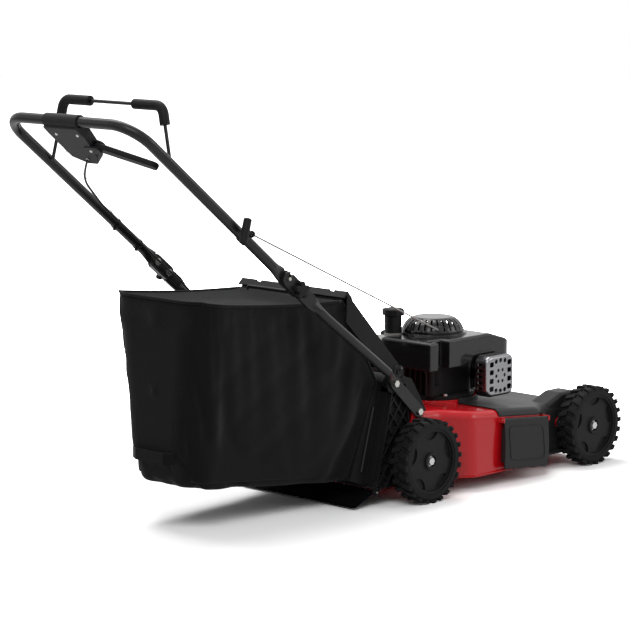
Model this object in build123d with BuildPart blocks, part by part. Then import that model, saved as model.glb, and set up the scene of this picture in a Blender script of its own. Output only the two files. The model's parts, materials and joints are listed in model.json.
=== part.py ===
from build123d import *
import os
from math import atan2, cos, degrees, hypot, radians, sin, tan

os.makedirs("parts", exist_ok=True)

# A walk-behind rotary lawn mower with a rear grass bag.
# Frame: +X forward, +Y to the user's left, +Z up, ground at Z = 0, origin under the middle of the box.
# Lengths named "..._back" or "..._ahead" are measured from the rear axle.

# ------------------------------------------------------------------ driving sizes, mm
wheel_radius = 101.6
wheel_width = 50.0
wheelbase = 630.0
overall_width = 538.0

handle_reach = 906.0            # rear axle to the crossbar
handle_height = 951.0           # ground to the crossbar
handle_spacing = 428.0          # between the two legs' centres
handle_bend_radius = 70.0
tube_radius = 12.0
tube_wall = 1.6
clamp_wall = 3.5                # of the control bracket round the crossbar
fold_back = 415.0               # fold bolts
fold_height = 554.0

same_body_gap = 0.15            # curved faces that touch in one body
free_gap = 0.3                  # between faces of different bodies
running_gap = 0.05              # radial, shaft in bore
hair = 0.02                     # flat faces of one body that touch

overall_length = handle_reach + tube_radius + clamp_wall + wheelbase + wheel_radius
rear_axle_x = overall_length / 2 - wheel_radius - wheelbase
front_axle_x = rear_axle_x + wheelbase
wheel_y = (overall_width - wheel_width) / 2


def ahead(distance):
    """X of a point this far ahead of the rear axle."""
    return rear_axle_x + distance


def finish(piece, label):
    """Name a piece and write it out."""
    piece.part.label = label
    export_step(piece.part, f"parts/{label}.step")


def side_plane(y):
    """A plane facing -Y at this Y, whose own axes run along the frame's X and Z."""
    return Plane(origin=(0, y, 0), x_dir=(1, 0, 0), z_dir=(0, -1, 0))


def side_slab(points, y_a, y_b, corner=0.0):
    """A plate between two Y values; its outline is points ahead of the rear axle and up."""
    with BuildPart() as slab:
        with BuildSketch(side_plane(max(y_a, y_b))) as outline:
            with BuildLine():
                Polyline(*[(ahead(x), z) for x, z in points], close=True)
            make_face()
            if corner:
                fillet(outline.vertices(), corner)
        extrude(amount=abs(y_b - y_a))
    return slab.part


def cross_rod(x, z, radius, y_a, y_b):
    """A round bar along Y."""
    with BuildPart() as rod:
        with BuildSketch(side_plane(max(y_a, y_b))):
            with Locations((x, z)):
                Circle(radius)
        extrude(amount=abs(y_b - y_a))
    return rod.part


def bar(start, end, radius):
    """A round bar between two points."""
    run = Vector(*end) - Vector(*start)
    with BuildPart() as straight:
        with BuildSketch(Plane(origin=start, z_dir=run)):
            Circle(radius)
        extrude(amount=run.length)
    return straight.part


def bent_bar(points, bend_radius, radius, bore=0.0):
    """A round bar or tube along straight runs joined by arcs."""
    with BuildPart() as bent:
        with BuildLine() as route:
            FilletPolyline(*points, radius=bend_radius)
        with BuildSketch(Plane(origin=points[0], z_dir=Vector(*points[1]) - Vector(*points[0]))):
            Circle(radius)
            if bore:
                Circle(bore, mode=Mode.SUBTRACT)
        sweep(path=route.line)
    return bent.part


# ------------------------------------------------------------------ the handle's line
crossbar_x = ahead(-handle_reach)
fold_x = ahead(-fold_back)
leg_y = handle_spacing / 2
leg_run = fold_x - crossbar_x
leg_rise = handle_height - fold_height
leg_length = hypot(leg_run, leg_rise)
up_leg = Vector(-leg_run / leg_length, 0, leg_rise / leg_length)
off_leg = Vector(leg_rise / leg_length, 0, leg_run / leg_length)


def on_leg(along, y, off=0.0):
    """A point this far up the leg from the fold bolt, and this far off its upper side."""
    return Vector(fold_x, y, fold_height) + up_leg * along + off_leg * off


# ------------------------------------------------------------------ wheels
lug_count = 24
lug_height = 5.5
lug_width = 12.0
lug_slant = 9.0
sidewall_round = 7.0
rim_radius = 79.0
rim_wall = 5.0
rim_width = 44.0
web_face = 14.0                 # outer face of the dished web, from the wheel's middle
web_thickness = 7.0
pocket_count = 5
pocket_depth = 4.5
hub_radius = 21.0
hub_recess_radius = 14.5
hub_recess_depth = 9.0
hub_face = 19.0
hub_back = 20.0
stud_radius = 6.45

def tread_lug(half):
    """One slanted lug, on the outer (1) or inner (-1) half of the tread."""
    foot = wheel_radius - lug_height - 2
    inner, outer = 1.0 * half, wheel_width / 2 * half
    with BuildPart() as lug:
        with BuildSketch(Plane(origin=(foot, 0, 0), x_dir=(0, 1, 0), z_dir=(1, 0, 0))):
            with BuildLine():
                Polyline(
                    (-(lug_width + lug_slant) / 2, inner),
                    ((lug_width - lug_slant) / 2, inner),
                    ((lug_width + lug_slant) / 2, outer),
                    (-(lug_width - lug_slant) / 2, outer),
                    close=True,
                )
            make_face()
        extrude(amount=lug_height + 4)
    return lug.part


outer_lug, inner_lug = tread_lug(1), tread_lug(-1)

with BuildPart() as tread:
    with PolarLocations(0, lug_count):
        add(outer_lug)
    with PolarLocations(0, lug_count, start_angle=180 / lug_count):
        add(inner_lug)
    Cylinder(wheel_radius, wheel_width, mode=Mode.INTERSECT)

with BuildPart() as tyre_form:
    carcass_radius = wheel_radius - lug_height
    with BuildSketch(Plane.XZ) as tyre_profile:
        with Locations(((rim_radius + carcass_radius) / 2, 0)):
            Rectangle(carcass_radius - rim_radius, wheel_width - 2)
        crown = tyre_profile.vertices().group_by(Axis.X)[-1]
        fillet(crown, sidewall_round)
    revolve(axis=Axis.Z)
    add(tread.part)

with BuildPart() as rim_form:
    with BuildSketch(Plane.XZ) as rim_profile:
        with Locations((rim_radius - rim_wall / 2, 0)):
            Rectangle(rim_wall, rim_width)
        with Locations(((rim_radius + stud_radius) / 2, web_face - web_thickness / 2)):
            Rectangle(rim_radius - stud_radius - rim_wall, web_thickness)
        with Locations(((hub_radius + stud_radius + running_gap) / 2, (hub_face - hub_back) / 2)):
            Rectangle(hub_radius - stud_radius - running_gap, hub_face + hub_back)
    revolve(axis=Axis.Z)
    fillet(rim_form.edges().group_by(Axis.Z)[-1].sort_by(SortBy.RADIUS)[0], 1.5)
    with BuildSketch(Plane.XY.offset(hub_face)):
        Circle(hub_recess_radius)
    extrude(amount=-hub_recess_depth, mode=Mode.SUBTRACT)
    with BuildSketch(Plane.XY.offset(web_face)) as pockets:
        with PolarLocations(rim_radius, pocket_count, start_angle=90):
            Circle(27)
        Circle(rim_radius - rim_wall - 3, mode=Mode.INTERSECT)
    extrude(amount=-pocket_depth, mode=Mode.SUBTRACT)

corners = {
    "rear_right": (rear_axle_x, -1),
    "rear_left": (rear_axle_x, 1),
    "front_right": (front_axle_x, -1),
    "front_left": (front_axle_x, 1),
}
for corner, (axle_x, side) in corners.items():
    wheel_place = Location((axle_x, side * wheel_y, wheel_radius), (-90 * side, 0, 0))
    for form, label in ((tyre_form, "tyre"), (rim_form, "rim")):
        with BuildPart() as wheel_piece:
            with Locations(wheel_place):
                add(form.part)
        finish(wheel_piece, f"{label}_{corner}")

# ------------------------------------------------------------------ deck
deck_rear = -10.0
deck_front = 668.0
deck_half_width = 250.0
deck_rear_half = 198.0
deck_front_half = 205.0
deck_corner_radius = 45.0
deck_lip_z = 36.0
deck_taper = 3.0
deck_wall = 2.0
deck_edge_radius = 20.0
deck_top_z = 207.0              # of the sloping top, 60 mm ahead of the rear axle
deck_top_slope = 5.7            # degrees, down towards the front
lip_width = 9.0
lip_thickness = 2.5

engine_ahead = 298.0
engine_x = ahead(engine_ahead)
engine_base_z = 196.0
engine_pad_radius = 112.0
crankshaft_radius = 12.5

chute_half_width = 140.0
chute_bottom = 52.0
chute_top = 180.0
side_exit_start = 290.0
side_exit_end = 430.0
side_exit_bottom = 55.0
side_exit_top = 134.0

pivot_offset = 75.0             # height adjuster's pivot, from its wheel's axle towards the middle
pivot_rise = 10.0
pivot_radius = 6.0
boss_radius = 14.0
boss_face_y = 207.5
arm_inner_y = boss_face_y + free_gap
arm_thickness = 5.0

ear_ahead = 14.0                # lower handle's front bolt
ear_height = 214.0
ear_outer_y = 203.7
ear_thickness = 5.0
bolt_radius = 3.9
bolt_hole_radius = bolt_radius + 0.1


engine_bolt_radius = 4.0
engine_bolt_angles = (60, 120, 240, 300)
side_door_start = 276.0         # along the deck, ahead of the rear axle
side_door_end = 446.0
side_hinge_y = -253.0
side_hinge_drop = 23.0          # its line runs this far below the deck's top plane
side_barrel_radius = 5.0
side_rod_radius = 2.5


def deck_top_at(distance_ahead):
    """Height of the deck's sloping top at this distance ahead of the rear axle."""
    return deck_top_z - (distance_ahead - 60) * tan(radians(deck_top_slope))


def side_hinge_at(distance_ahead):
    """A point on the side door's hinge line, which falls with the deck's top."""
    return Vector(ahead(distance_ahead), side_hinge_y, deck_top_at(distance_ahead) - side_hinge_drop)


def deck_outline(grow):
    """The deck's plan outline, grown or shrunk by an offset."""
    half_points = [
        (deck_rear, deck_rear_half),
        (108, deck_rear_half),
        (168, deck_half_width),
        (430, deck_half_width),
        (502, deck_front_half),
        (588, deck_front_half),
        (deck_front, 125),
    ]
    points = [(ahead(x), -y) for x, y in half_points]
    points += [(x, -y) for x, y in reversed(points)]
    with BuildSketch() as outline:
        with BuildLine():
            Polyline(*points, close=True)
        make_face()
        fillet(outline.vertices(), deck_corner_radius)
        if grow:
            offset(amount=grow)
    return outline.sketch


def deck_form(inset):
    """The deck as a solid, shrunk by an inset on every outer face but the bottom."""
    with BuildPart() as form:
        with BuildSketch(Plane.XY.offset(deck_lip_z)):
            add(deck_outline(-inset))
        extrude(amount=deck_top_z + 40 - deck_lip_z, taper=deck_taper)
        slope = radians(deck_top_slope)
        top_plane = Plane(
            origin=(ahead(60), 0, deck_top_z - inset),
            x_dir=(cos(slope), 0, -sin(slope)),
            z_dir=(sin(slope), 0, cos(slope)),
        )
        split(bisect_by=top_plane, keep=Keep.BOTTOM)
        top = form.faces().sort_by(Axis.Z)[-1]
        fillet(top.edges(), deck_edge_radius - inset)
        with BuildSketch(Plane.XY.offset(deck_lip_z + 60)):
            with Locations((engine_x, 0)):
                Circle(engine_pad_radius - inset)
        extrude(amount=engine_base_z - inset - deck_lip_z - 60)
    return form.part


pivots = {
    corner: (axle_x + (pivot_offset if axle_x == rear_axle_x else -pivot_offset), side)
    for corner, (axle_x, side) in corners.items()
}
pivot_z = wheel_radius + pivot_rise

deck_outside = deck_form(0)
deck_inside = deck_form(deck_wall)

side_hinge_hole = bar(
    side_hinge_at(side_door_start - 20), side_hinge_at(side_door_end + 20), side_rod_radius + running_gap
)
ear_foot = deck_top_at(ear_ahead) - 40
ear_crown = ear_height + 14
ear_foot_points = [(-9, ear_foot + 1), (43, ear_foot + 1), (40, ear_foot + 19), (-6, ear_foot + 19)]
ear_points = [(-12, ear_foot), (44, ear_foot), (27, ear_crown), (1, ear_crown)]
handle_ears = [
    side_slab(ear_points, side * ear_outer_y, side * (ear_outer_y - ear_thickness), 5)
    for side in (1, -1)
]
handle_ears += [
    side_slab(ear_foot_points, side * (ear_outer_y - 1), side * (deck_rear_half - 12), 5)
    for side in (1, -1)
]
pivot_bosses = [
    cross_rod(x, pivot_z, boss_radius, side * boss_face_y, side * (deck_rear_half - 14))
    for x, side in pivots.values()
]

with BuildPart() as deck_shell:
    add(deck_outside)
    with BuildSketch(Plane.XY.offset(deck_lip_z)):
        add(deck_outline(lip_width))
    extrude(amount=lip_thickness)
    for piece in handle_ears + pivot_bosses:
        add(piece)
    add(deck_inside, mode=Mode.SUBTRACT)
    with Locations((ahead(deck_rear), 0, (chute_bottom + chute_top) / 2)):
        Box(60, 2 * chute_half_width, chute_top - chute_bottom, mode=Mode.SUBTRACT)
    side_exit_centre = ahead((side_exit_start + side_exit_end) / 2)
    with Locations((side_exit_centre, -deck_half_width, (side_exit_bottom + side_exit_top) / 2)):
        Box(
            side_exit_end - side_exit_start, 60, side_exit_top - side_exit_bottom, mode=Mode.SUBTRACT
        )
    with Locations((engine_x, 0, engine_base_z)):
        Cylinder(crankshaft_radius + 18, 20, mode=Mode.SUBTRACT)
    for x, ear_inner_y in ((side_door_start - free_gap - 2.5, -240), (side_door_end + free_gap + 2.5, -231)):
        ear_middle = side_hinge_at(x) + Vector(0, (ear_inner_y - side_hinge_y - 6) / 2, 0)
        with Locations(Location(ear_middle, (0, deck_top_slope, 0))):
            Box(5, ear_inner_y - side_hinge_y + 6, 13)
    add(side_hinge_hole, mode=Mode.SUBTRACT)
    add(
        cross_rod(ahead(ear_ahead), ear_height, bolt_hole_radius, -ear_outer_y, ear_outer_y),
        mode=Mode.SUBTRACT,
    )
    with Locations((engine_x, 0, engine_base_z)):
        for angle in engine_bolt_angles:
            with PolarLocations(engine_pad_radius - 14, 1, start_angle=angle):
                Cylinder(engine_bolt_radius + 0.2, 40, mode=Mode.SUBTRACT)
finish(deck_shell, "deck_shell")

# ------------------------------------------------------------------ rear housing
housing_half = 192.0
housing_wall = 10.0
rib_height = 8.0
rib_width = 3.2
rib_pitch = 27.0
rib_angle = 52.0
housing_front = deck_rear - 2.0
housing_bottom_front = deck_lip_z + lip_thickness + hair
mouth_bottom = (-128.0, 43.0)           # rear face of the housing, ahead-of-axle and height
mouth_top = (-69.0, 291.0)
hood_top = (-20.0, 302.0)
hood_shoulder = (4.0, 294.0)
hood_foot = 58.0
hinge_rod_radius = 4.0
barrel_radius = 7.0
door_hinge = (-25.0, 320.0)
door_half = 176.0
flap_hinge = (-120.0, 34.0)
flap_half = 188.0
flap_barrel_radius = 5.0
flap_rod_radius = 2.5
upper_fixing = (-71.0, 293.0)           # lower handle's rear bolt
hinge_ear_thickness = 6.0
hinge_ear_y = door_half + free_gap

cheek = [mouth_bottom, (housing_front, housing_bottom_front), (housing_front, 200), (-22, 290), mouth_top]
housing_seat = deck_top_at(hood_foot) + free_gap
housing_profile = [
    mouth_bottom,
    (housing_front, housing_bottom_front),
    (housing_front, deck_top_at(housing_front) + 1),
    (hood_foot, housing_seat),
    (hood_foot - 2, housing_seat + 6),
    hood_shoulder,
    hood_top,
    mouth_top,
]
chute_profile = [
    (-175, chute_bottom),
    (housing_front + 5, chute_bottom),
    (housing_front + 5, 200),
    (-24, 282),
    (-110, 282),
]
housing_body = side_slab(housing_profile, -housing_half, housing_half)
chute_space = side_slab(chute_profile, -housing_half + housing_wall, housing_half - housing_wall)


def cheek_outline(inset):
    """The flat side of the housing, behind the wheel."""
    with BuildSketch(side_plane(0)) as outline:
        with BuildLine():
            Polyline(*[(ahead(x), z) for x, z in cheek], close=True)
        make_face()
        if inset:
            offset(amount=-inset)
    return outline.sketch


cheek_face = cheek_outline(0)
cheek_inside = cheek_outline(rib_width)

with BuildPart() as lattice:
    with BuildSketch(side_plane(0)):
        with Locations(Location((ahead(-68), 165), rib_angle), Location((ahead(-68), 165), -rib_angle)):
            with GridLocations(1, rib_pitch, 1, 11):
                Rectangle(320, rib_width)
        add(cheek_face, mode=Mode.INTERSECT)
    extrude(amount=rib_height)
    with BuildSketch(side_plane(0)):
        add(cheek_face)
        add(cheek_inside, mode=Mode.SUBTRACT)
    extrude(amount=rib_height)

with BuildPart() as rear_housing:
    add(housing_body)
    with Locations((0, -housing_half, 0), (0, housing_half + rib_height, 0)):
        add(lattice.part)
    for side in (1, -1):
        hinge_y = side * hinge_ear_y
        hinge_ear = [(-37, 290), (-13, 290), (-15, door_hinge[1] + 6), (-35, door_hinge[1] + 6)]
        add(side_slab(hinge_ear, hinge_y, hinge_y + side * hinge_ear_thickness, 4))
        flap_y = side * (flap_half + free_gap)
        flap_ear = [(-128, 60), (-108, 60), (-112, 27), (-128, 27)]
        add(side_slab(flap_ear, flap_y, flap_y + side * hinge_ear_thickness, 4))
        fixing = cross_rod(ahead(upper_fixing[0]), upper_fixing[1], 14, side * 180, side * ear_outer_y)
        add(fixing)
    add(chute_space, mode=Mode.SUBTRACT)
    whole = housing_half + 30
    for (x, z), radius in (
        (door_hinge, hinge_rod_radius + running_gap),
        (flap_hinge, flap_rod_radius + running_gap),
        (upper_fixing, bolt_hole_radius),
    ):
        add(cross_rod(ahead(x), z, radius, -whole, whole), mode=Mode.SUBTRACT)
finish(rear_housing, "rear_housing")

# ------------------------------------------------------------------ rear door, open on the bag
door_top_edge = (-205.0, 517.0)
door_run = door_hinge[0] - door_top_edge[0]
door_rise = door_top_edge[1] - door_hinge[1]
door_length = hypot(door_run, door_rise)
up_door = Vector(-door_run / door_length, 0, door_rise / door_length)
off_door = Vector(door_rise / door_length, 0, door_run / door_length)
door_wall = 3.5
door_lip = 13.0
door_ridge = 7.0


def on_door(along, off):
    """A point in the door's side view, ahead of the axle and up."""
    point = up_door * along + off_door * off
    return (door_hinge[0] + point.X, door_hinge[1] + point.Z)


door_plate_profile = [
    on_door(2, barrel_radius - door_wall),
    on_door(door_length, -1),
    on_door(door_length, -door_lip),
    on_door(door_length + door_wall, -door_lip),
    on_door(door_length + door_wall, door_ridge),
    on_door(door_length - 16, door_ridge),
    on_door(door_length - 26, door_wall - 1),
    on_door(2, barrel_radius),
]
door_side_profile = [
    (-38, 308),
    on_door(14, barrel_radius),
    on_door(door_length - 20, 3),
    on_door(door_length, 2),
    (-208, 452),
    (-60, 303),
]
door_plate = side_slab(door_plate_profile, -door_half, door_half)
door_ridge_notch = [
    on_door(door_length - 40, door_wall - 1),
    on_door(door_length + 10, door_wall - 1),
    on_door(door_length + 10, 20),
    on_door(door_length - 40, 20),
]

with BuildPart() as rear_door:
    add(door_plate)
    for side in (1, -1):
        add(side_slab(door_side_profile, side * door_half, side * (door_half - door_wall)))
    for y in (-105, -35, 35, 105):
        rib = [on_door(16, 4), on_door(door_length - 4, 0), on_door(door_length - 4, -7), on_door(30, -7)]
        add(side_slab(rib, y - 1.5, y + 1.5))
    add(cross_rod(ahead(door_hinge[0]), door_hinge[1], barrel_radius, -door_half, door_half))
    for y in (-126, 118):
        add(side_slab(door_ridge_notch, y - 8, y + 8), mode=Mode.SUBTRACT)
    add(
        cross_rod(
            ahead(door_hinge[0]), door_hinge[1], hinge_rod_radius + running_gap, -door_half, door_half
        ),
        mode=Mode.SUBTRACT,
    )
finish(rear_door, "rear_door")

# ------------------------------------------------------------------ trailing flap
flap_tip = (-190.0, 5.0)
flap_thickness = 3.0
flap_run = flap_hinge[0] - flap_tip[0]
flap_drop = flap_hinge[1] - flap_tip[1]
flap_lean = atan2(flap_drop, flap_run)
flap_points = [
    flap_hinge,
    flap_tip,
    (flap_tip[0] - flap_thickness * sin(flap_lean), flap_tip[1] + flap_thickness * cos(flap_lean)),
    (flap_hinge[0] - flap_thickness * sin(flap_lean), flap_hinge[1] + flap_thickness * cos(flap_lean)),
]

with BuildPart() as rear_flap:
    add(side_slab(flap_points, -flap_half, flap_half))
    add(cross_rod(ahead(flap_hinge[0]), flap_hinge[1], flap_barrel_radius, -flap_half, flap_half))
    flap_bore = cross_rod(
        ahead(flap_hinge[0]), flap_hinge[1], flap_rod_radius + running_gap, -flap_half, flap_half
    )
    add(flap_bore, mode=Mode.SUBTRACT)
finish(rear_flap, "rear_flap")

# ------------------------------------------------------------------ grass bag
bag_rear_back = 658.0
bag_rear_top = 540.0
bag_rear_bottom = 112.0
bag_rear_half_top = 162.0
bag_rear_half_bottom = 122.0
bag_shoulder = (-214.0, 503.0)          # where the flat top turns down to the mouth
bag_mouth_top = (-91.0, 305.0)
bag_mouth_bottom = (-180.0, 66.0)
bag_shoulder_half = 165.0
bag_mouth_half_bottom = 152.0
bag_wall = 3.0
bag_round = 16.0
bag_corner_radius = 54.0        # of its two rear corners, in plan
frame_half = 164.0
frame_wall = 6.0
mouth_gap = 0.3
flange_half = 188.0
flange_thickness = 3.0


def bag_section(distance_ahead, inset):
    """The bag's cross-section at a distance ahead of the rear axle: half widths and heights."""
    share_top = (distance_ahead + bag_rear_back) / (bag_shoulder[0] + bag_rear_back)
    share_bottom = (distance_ahead + bag_rear_back) / (bag_mouth_bottom[0] + bag_rear_back)
    half_top = bag_rear_half_top + (bag_shoulder_half - bag_rear_half_top) * share_top
    top = bag_rear_top + (bag_shoulder[1] - bag_rear_top) * share_top
    half_bottom = bag_rear_half_bottom + (bag_mouth_half_bottom - bag_rear_half_bottom) * share_bottom
    bottom = bag_rear_bottom + (bag_mouth_bottom[1] - bag_rear_bottom) * share_bottom
    return half_top - inset, top - inset, half_bottom - inset, bottom + inset


def bag_form(inset, front):
    """The bag's body, tapering down and back, shrunk by an inset."""
    with BuildPart() as form:
        for distance_ahead in (inset - bag_rear_back, front):
            half_top, top, half_bottom, bottom = bag_section(distance_ahead, inset)
            with BuildSketch(Plane(origin=(ahead(distance_ahead), 0, 0), x_dir=(0, 1, 0), z_dir=(1, 0, 0))):
                with BuildLine():
                    Polyline(
                        (-half_bottom, bottom),
                        (half_bottom, bottom),
                        (half_top, top),
                        (-half_top, top),
                        close=True,
                    )
                make_face()
        loft()
        rear = form.faces().sort_by(Axis.X)[0]
        upright = rear.edges().filter_by(lambda edge: abs((edge @ 1 - edge @ 0).Z) > 200)
        fillet(upright, bag_corner_radius - inset)
        rim = form.edges().filter_by(lambda edge: abs((edge @ 1 - edge @ 0).Z) < 60)
        rim = rim.filter_by(lambda edge: edge.center().X < ahead(front) - 20)
        fillet(rim, bag_round - inset)
    return form.part


def past_front(inset, mouth_inset):
    """What lies beyond the bag's sloping front and its mouth."""
    slope = Vector(bag_shoulder[0] - bag_mouth_top[0], 0, bag_shoulder[1] - bag_mouth_top[1]).normalized()
    mouth = Vector(
        bag_mouth_bottom[0] - bag_mouth_top[0], 0, bag_mouth_bottom[1] - bag_mouth_top[1]
    ).normalized()
    off_slope = Vector(-slope.Z, 0, slope.X) * inset
    corner = Vector(bag_mouth_top[0], 0, bag_mouth_top[1]) + off_slope + Vector(mouth_inset, 0, 0)
    high = corner + slope * 330
    low = corner + mouth * 360
    outline = [(low.X, low.Z), (60, low.Z), (60, high.Z), (high.X, high.Z), (corner.X, corner.Z)]
    return side_slab(outline, -220, 220)


bag_outside = bag_form(0, -40)
bag_inside = bag_form(bag_wall, -40)
beyond_outside = past_front(0, 0)
beyond_inside = past_front(bag_wall, 0)

with BuildPart() as bag_cavity:
    add(bag_inside)
    add(beyond_inside, mode=Mode.SUBTRACT)
    mouth_half = frame_half - frame_wall
    mouth_cut = [(-110, 292), (-50, 292), (-50, 72), (-192, 72)]
    add(side_slab(mouth_cut, -mouth_half + 8, mouth_half - 8))

with BuildPart() as bag_fabric:
    add(bag_outside)
    add(beyond_outside, mode=Mode.SUBTRACT)
    add(bag_cavity.part, mode=Mode.SUBTRACT)
finish(bag_fabric, "bag_fabric")

mouth_lean = (bag_mouth_bottom[0] - bag_mouth_top[0]) / (bag_mouth_bottom[1] - bag_mouth_top[1])
frame_profile = [
    (bag_mouth_top[0] - 3 * mouth_lean + hair, bag_mouth_top[1] - 3),
    (bag_mouth_bottom[0] + 1 * mouth_lean + hair, bag_mouth_bottom[1] + 1),
    (mouth_bottom[0] - mouth_gap, mouth_bottom[1] + 2),
    (mouth_top[0] - mouth_gap - 1, mouth_top[1] - 3),
]
frame_passage = [(-103, 304), (-61, 272), (-119, 47), (-192, 79)]

flange_profile = [
    (-74.0 - mouth_gap, 270),
    (-74.0 - mouth_gap - flange_thickness, 270),
    (-125.5 - mouth_gap - flange_thickness, 53),
    (-125.5 - mouth_gap, 53),
]

with BuildPart() as bag_frame:
    add(side_slab(frame_profile, -frame_half, frame_half))
    add(side_slab(flange_profile, -flange_half, flange_half))
    add(
        side_slab(frame_passage, -frame_half + frame_wall, frame_half - frame_wall),
        mode=Mode.SUBTRACT,
    )
finish(bag_frame, "bag_frame")

rod_radius = 3.0
side_rod_y = frame_half + rod_radius + hair
grab_rod_back = 255.0
grab_rod_half = 104.0
grab_rod_z = bag_section(-grab_rod_back, 0)[1] + 10

with BuildPart() as bag_rods:
    for side in (1, -1):
        y = side * side_rod_y
        add(bar((ahead(-104), y, 236), (ahead(-146), y, 84), rod_radius))
    grab_foot = bag_section(-grab_rod_back, 0)[1] + 0.4
    grab_points = [
        (ahead(-grab_rod_back), grab_rod_half, grab_foot),
        (ahead(-grab_rod_back), grab_rod_half, grab_rod_z),
        (ahead(-grab_rod_back), -grab_rod_half, grab_rod_z),
        (ahead(-grab_rod_back), -grab_rod_half, grab_foot),
    ]
    add(bent_bar(grab_points, 6, rod_radius))
finish(bag_rods, "bag_rods")

strap_left = 72.0
strap_right = -68.0
strap_bottom = 163.0
strap_width = 26.0
strap_thickness = 2.0
strap_stand_off = 14.0

with BuildPart() as bag_strap:
    rear_x = ahead(-bag_rear_back) - hair
    with BuildSketch(Plane.XY.offset(strap_bottom)) as strap:
        with BuildLine():
            Polyline(
                (rear_x, strap_left),
                (rear_x - strap_stand_off, strap_left - 24),
                (rear_x - strap_stand_off, strap_right + 24),
                (rear_x, strap_right),
                (rear_x, strap_right + strap_thickness * 3),
                (rear_x - strap_stand_off + strap_thickness, strap_right + 25),
                (rear_x - strap_stand_off + strap_thickness, strap_left - 25),
                (rear_x, strap_left - strap_thickness * 3),
                close=True,
            )
        make_face()
    extrude(amount=strap_width)
finish(bag_strap, "bag_strap")

# ------------------------------------------------------------------ lower handle
flat_thickness = 8.0
flat_width = 34.0
flat_length = 62.0              # flattened end of the upper leg, above the fold bolt
crush_length = 34.0             # from round to flat
lock_bolt_along = 46.0
lower_tube_radius = 11.0
lower_y = leg_y + flat_thickness + free_gap
lower_flat_below = 58.0         # the lower flat reaches this far down past the fold bolt
lower_crush_length = 26.0
lower_kink_along = -118.0
lower_end = (-112.0, 326.0)
plate_thickness = 5.0
plate_y = ear_outer_y + free_gap + plate_thickness / 2
plate_width = 30.0
fixings = [upper_fixing, (ear_ahead, ear_height)]
joint_bolt_radius = 4.0
joint_bolt_hole = joint_bolt_radius + running_gap


notch_gap = 0.4                 # round the lock bolt, which swings out of the notch
notch_low = lock_bolt_along - joint_bolt_radius - notch_gap
notch_high = lock_bolt_along + joint_bolt_radius + notch_gap


def notch_point(radius, turn):
    """A point on an arc about the fold bolt, this many degrees from the leg towards the front."""
    return (radius * sin(radians(turn)), radius * cos(radians(turn)))


def flat_end(y, thickness, low, high):
    """The flattened end of a handle tube, between two distances up the leg."""
    with BuildPart() as flat:
        plane = Plane(
            origin=Vector(fold_x, y + thickness / 2, fold_height), x_dir=up_leg, z_dir=(0, -1, 0)
        )
        with BuildSketch(plane) as outline:
            with Locations(((low + high) / 2, 0)):
                Rectangle(high - low, flat_width)
            fillet(outline.vertices(), flat_width / 2 - 1)
        extrude(amount=thickness)
    return flat.part


def crushed(y, flat_at, round_at, tube):
    """Where a tube passes from round to flat, along the leg's line."""
    with BuildPart() as crush:
        with BuildSketch(Plane(origin=on_leg(flat_at, y), x_dir=(0, 1, 0), z_dir=up_leg)):
            RectangleRounded(flat_thickness + 0.5, flat_width + 0.5, flat_thickness / 2)
        with BuildSketch(Plane(origin=on_leg(round_at, y), x_dir=(0, 1, 0), z_dir=up_leg)):
            Circle(tube)
        loft()
    return crush.part


for side, label in ((-1, "right"), (1, "left")):
    tube_y = side * lower_y
    crush_end = -lower_flat_below - lower_crush_length
    tube_start = on_leg(crush_end, tube_y)
    kink = on_leg(lower_kink_along, tube_y)
    tube_end = Vector(ahead(lower_end[0]), tube_y, lower_end[1])
    down_tube = (tube_end - kink).normalized()
    plate_start = Vector(ahead(upper_fixing[0] - 6), side * plate_y, upper_fixing[1] + 5)
    front_fixing = Vector(ahead(ear_ahead), side * plate_y, ear_height)
    rear_fixing = Vector(ahead(upper_fixing[0]), side * plate_y, upper_fixing[1])
    plate_run = front_fixing - rear_fixing
    tube_shape = bent_bar([tube_start, kink, tube_end], 140, lower_tube_radius)
    top_flat = flat_end(tube_y, flat_thickness, -lower_flat_below - 8, lock_bolt_along + 15)
    top_crush = crushed(tube_y, -lower_flat_below, crush_end, lower_tube_radius)
    plate_plane = Plane(
        origin=(rear_fixing + plate_run / 2) + Vector(0, plate_thickness / 2, 0),
        x_dir=plate_run,
        z_dir=(0, -1, 0),
    )
    fold_hole = cross_rod(fold_x, fold_height, joint_bolt_hole, tube_y - 20, tube_y + 20)
    with BuildPart() as lower_handle:
        with BuildSketch(Plane(origin=tube_end, x_dir=(0, 1, 0), z_dir=down_tube)):
            Circle(lower_tube_radius)
        with BuildSketch(Plane(origin=plate_start, x_dir=(0, 1, 0), z_dir=down_tube)):
            RectangleRounded(plate_thickness - 0.6, plate_width - 3, plate_thickness / 2 - 0.4)
        loft()
        add(tube_shape)
        add(top_flat)
        add(top_crush)
        with BuildSketch(plate_plane):
            SlotCenterToCenter(plate_run.length, plate_width)
        extrude(amount=plate_thickness)
        for x, z in fixings:
            add(
                cross_rod(ahead(x), z, bolt_hole_radius, side * (plate_y - 6), side * (plate_y + 6)),
                mode=Mode.SUBTRACT,
            )
        add(fold_hole, mode=Mode.SUBTRACT)
        notch_plane = Plane(
            origin=on_leg(0, tube_y + flat_thickness, 0), x_dir=off_leg, z_dir=(0, -1, 0)
        )
        with BuildSketch(notch_plane):
            with BuildLine():
                Line((0, notch_low), (0, notch_high))
                notch_middle = notch_point(notch_high, 15)
                notch_outer = ThreePointArc((0, notch_high), notch_middle, notch_point(notch_high, 30))
                notch_end = Line(notch_outer @ 1, notch_point(notch_low, 30))
                ThreePointArc(notch_end @ 1, notch_point(notch_low, 15), (0, notch_low))
            make_face()
            with Locations((0, lock_bolt_along)):
                Circle(joint_bolt_radius + notch_gap)
        extrude(amount=2 * flat_thickness, mode=Mode.SUBTRACT)
    finish(lower_handle, f"lower_handle_{label}")

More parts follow.
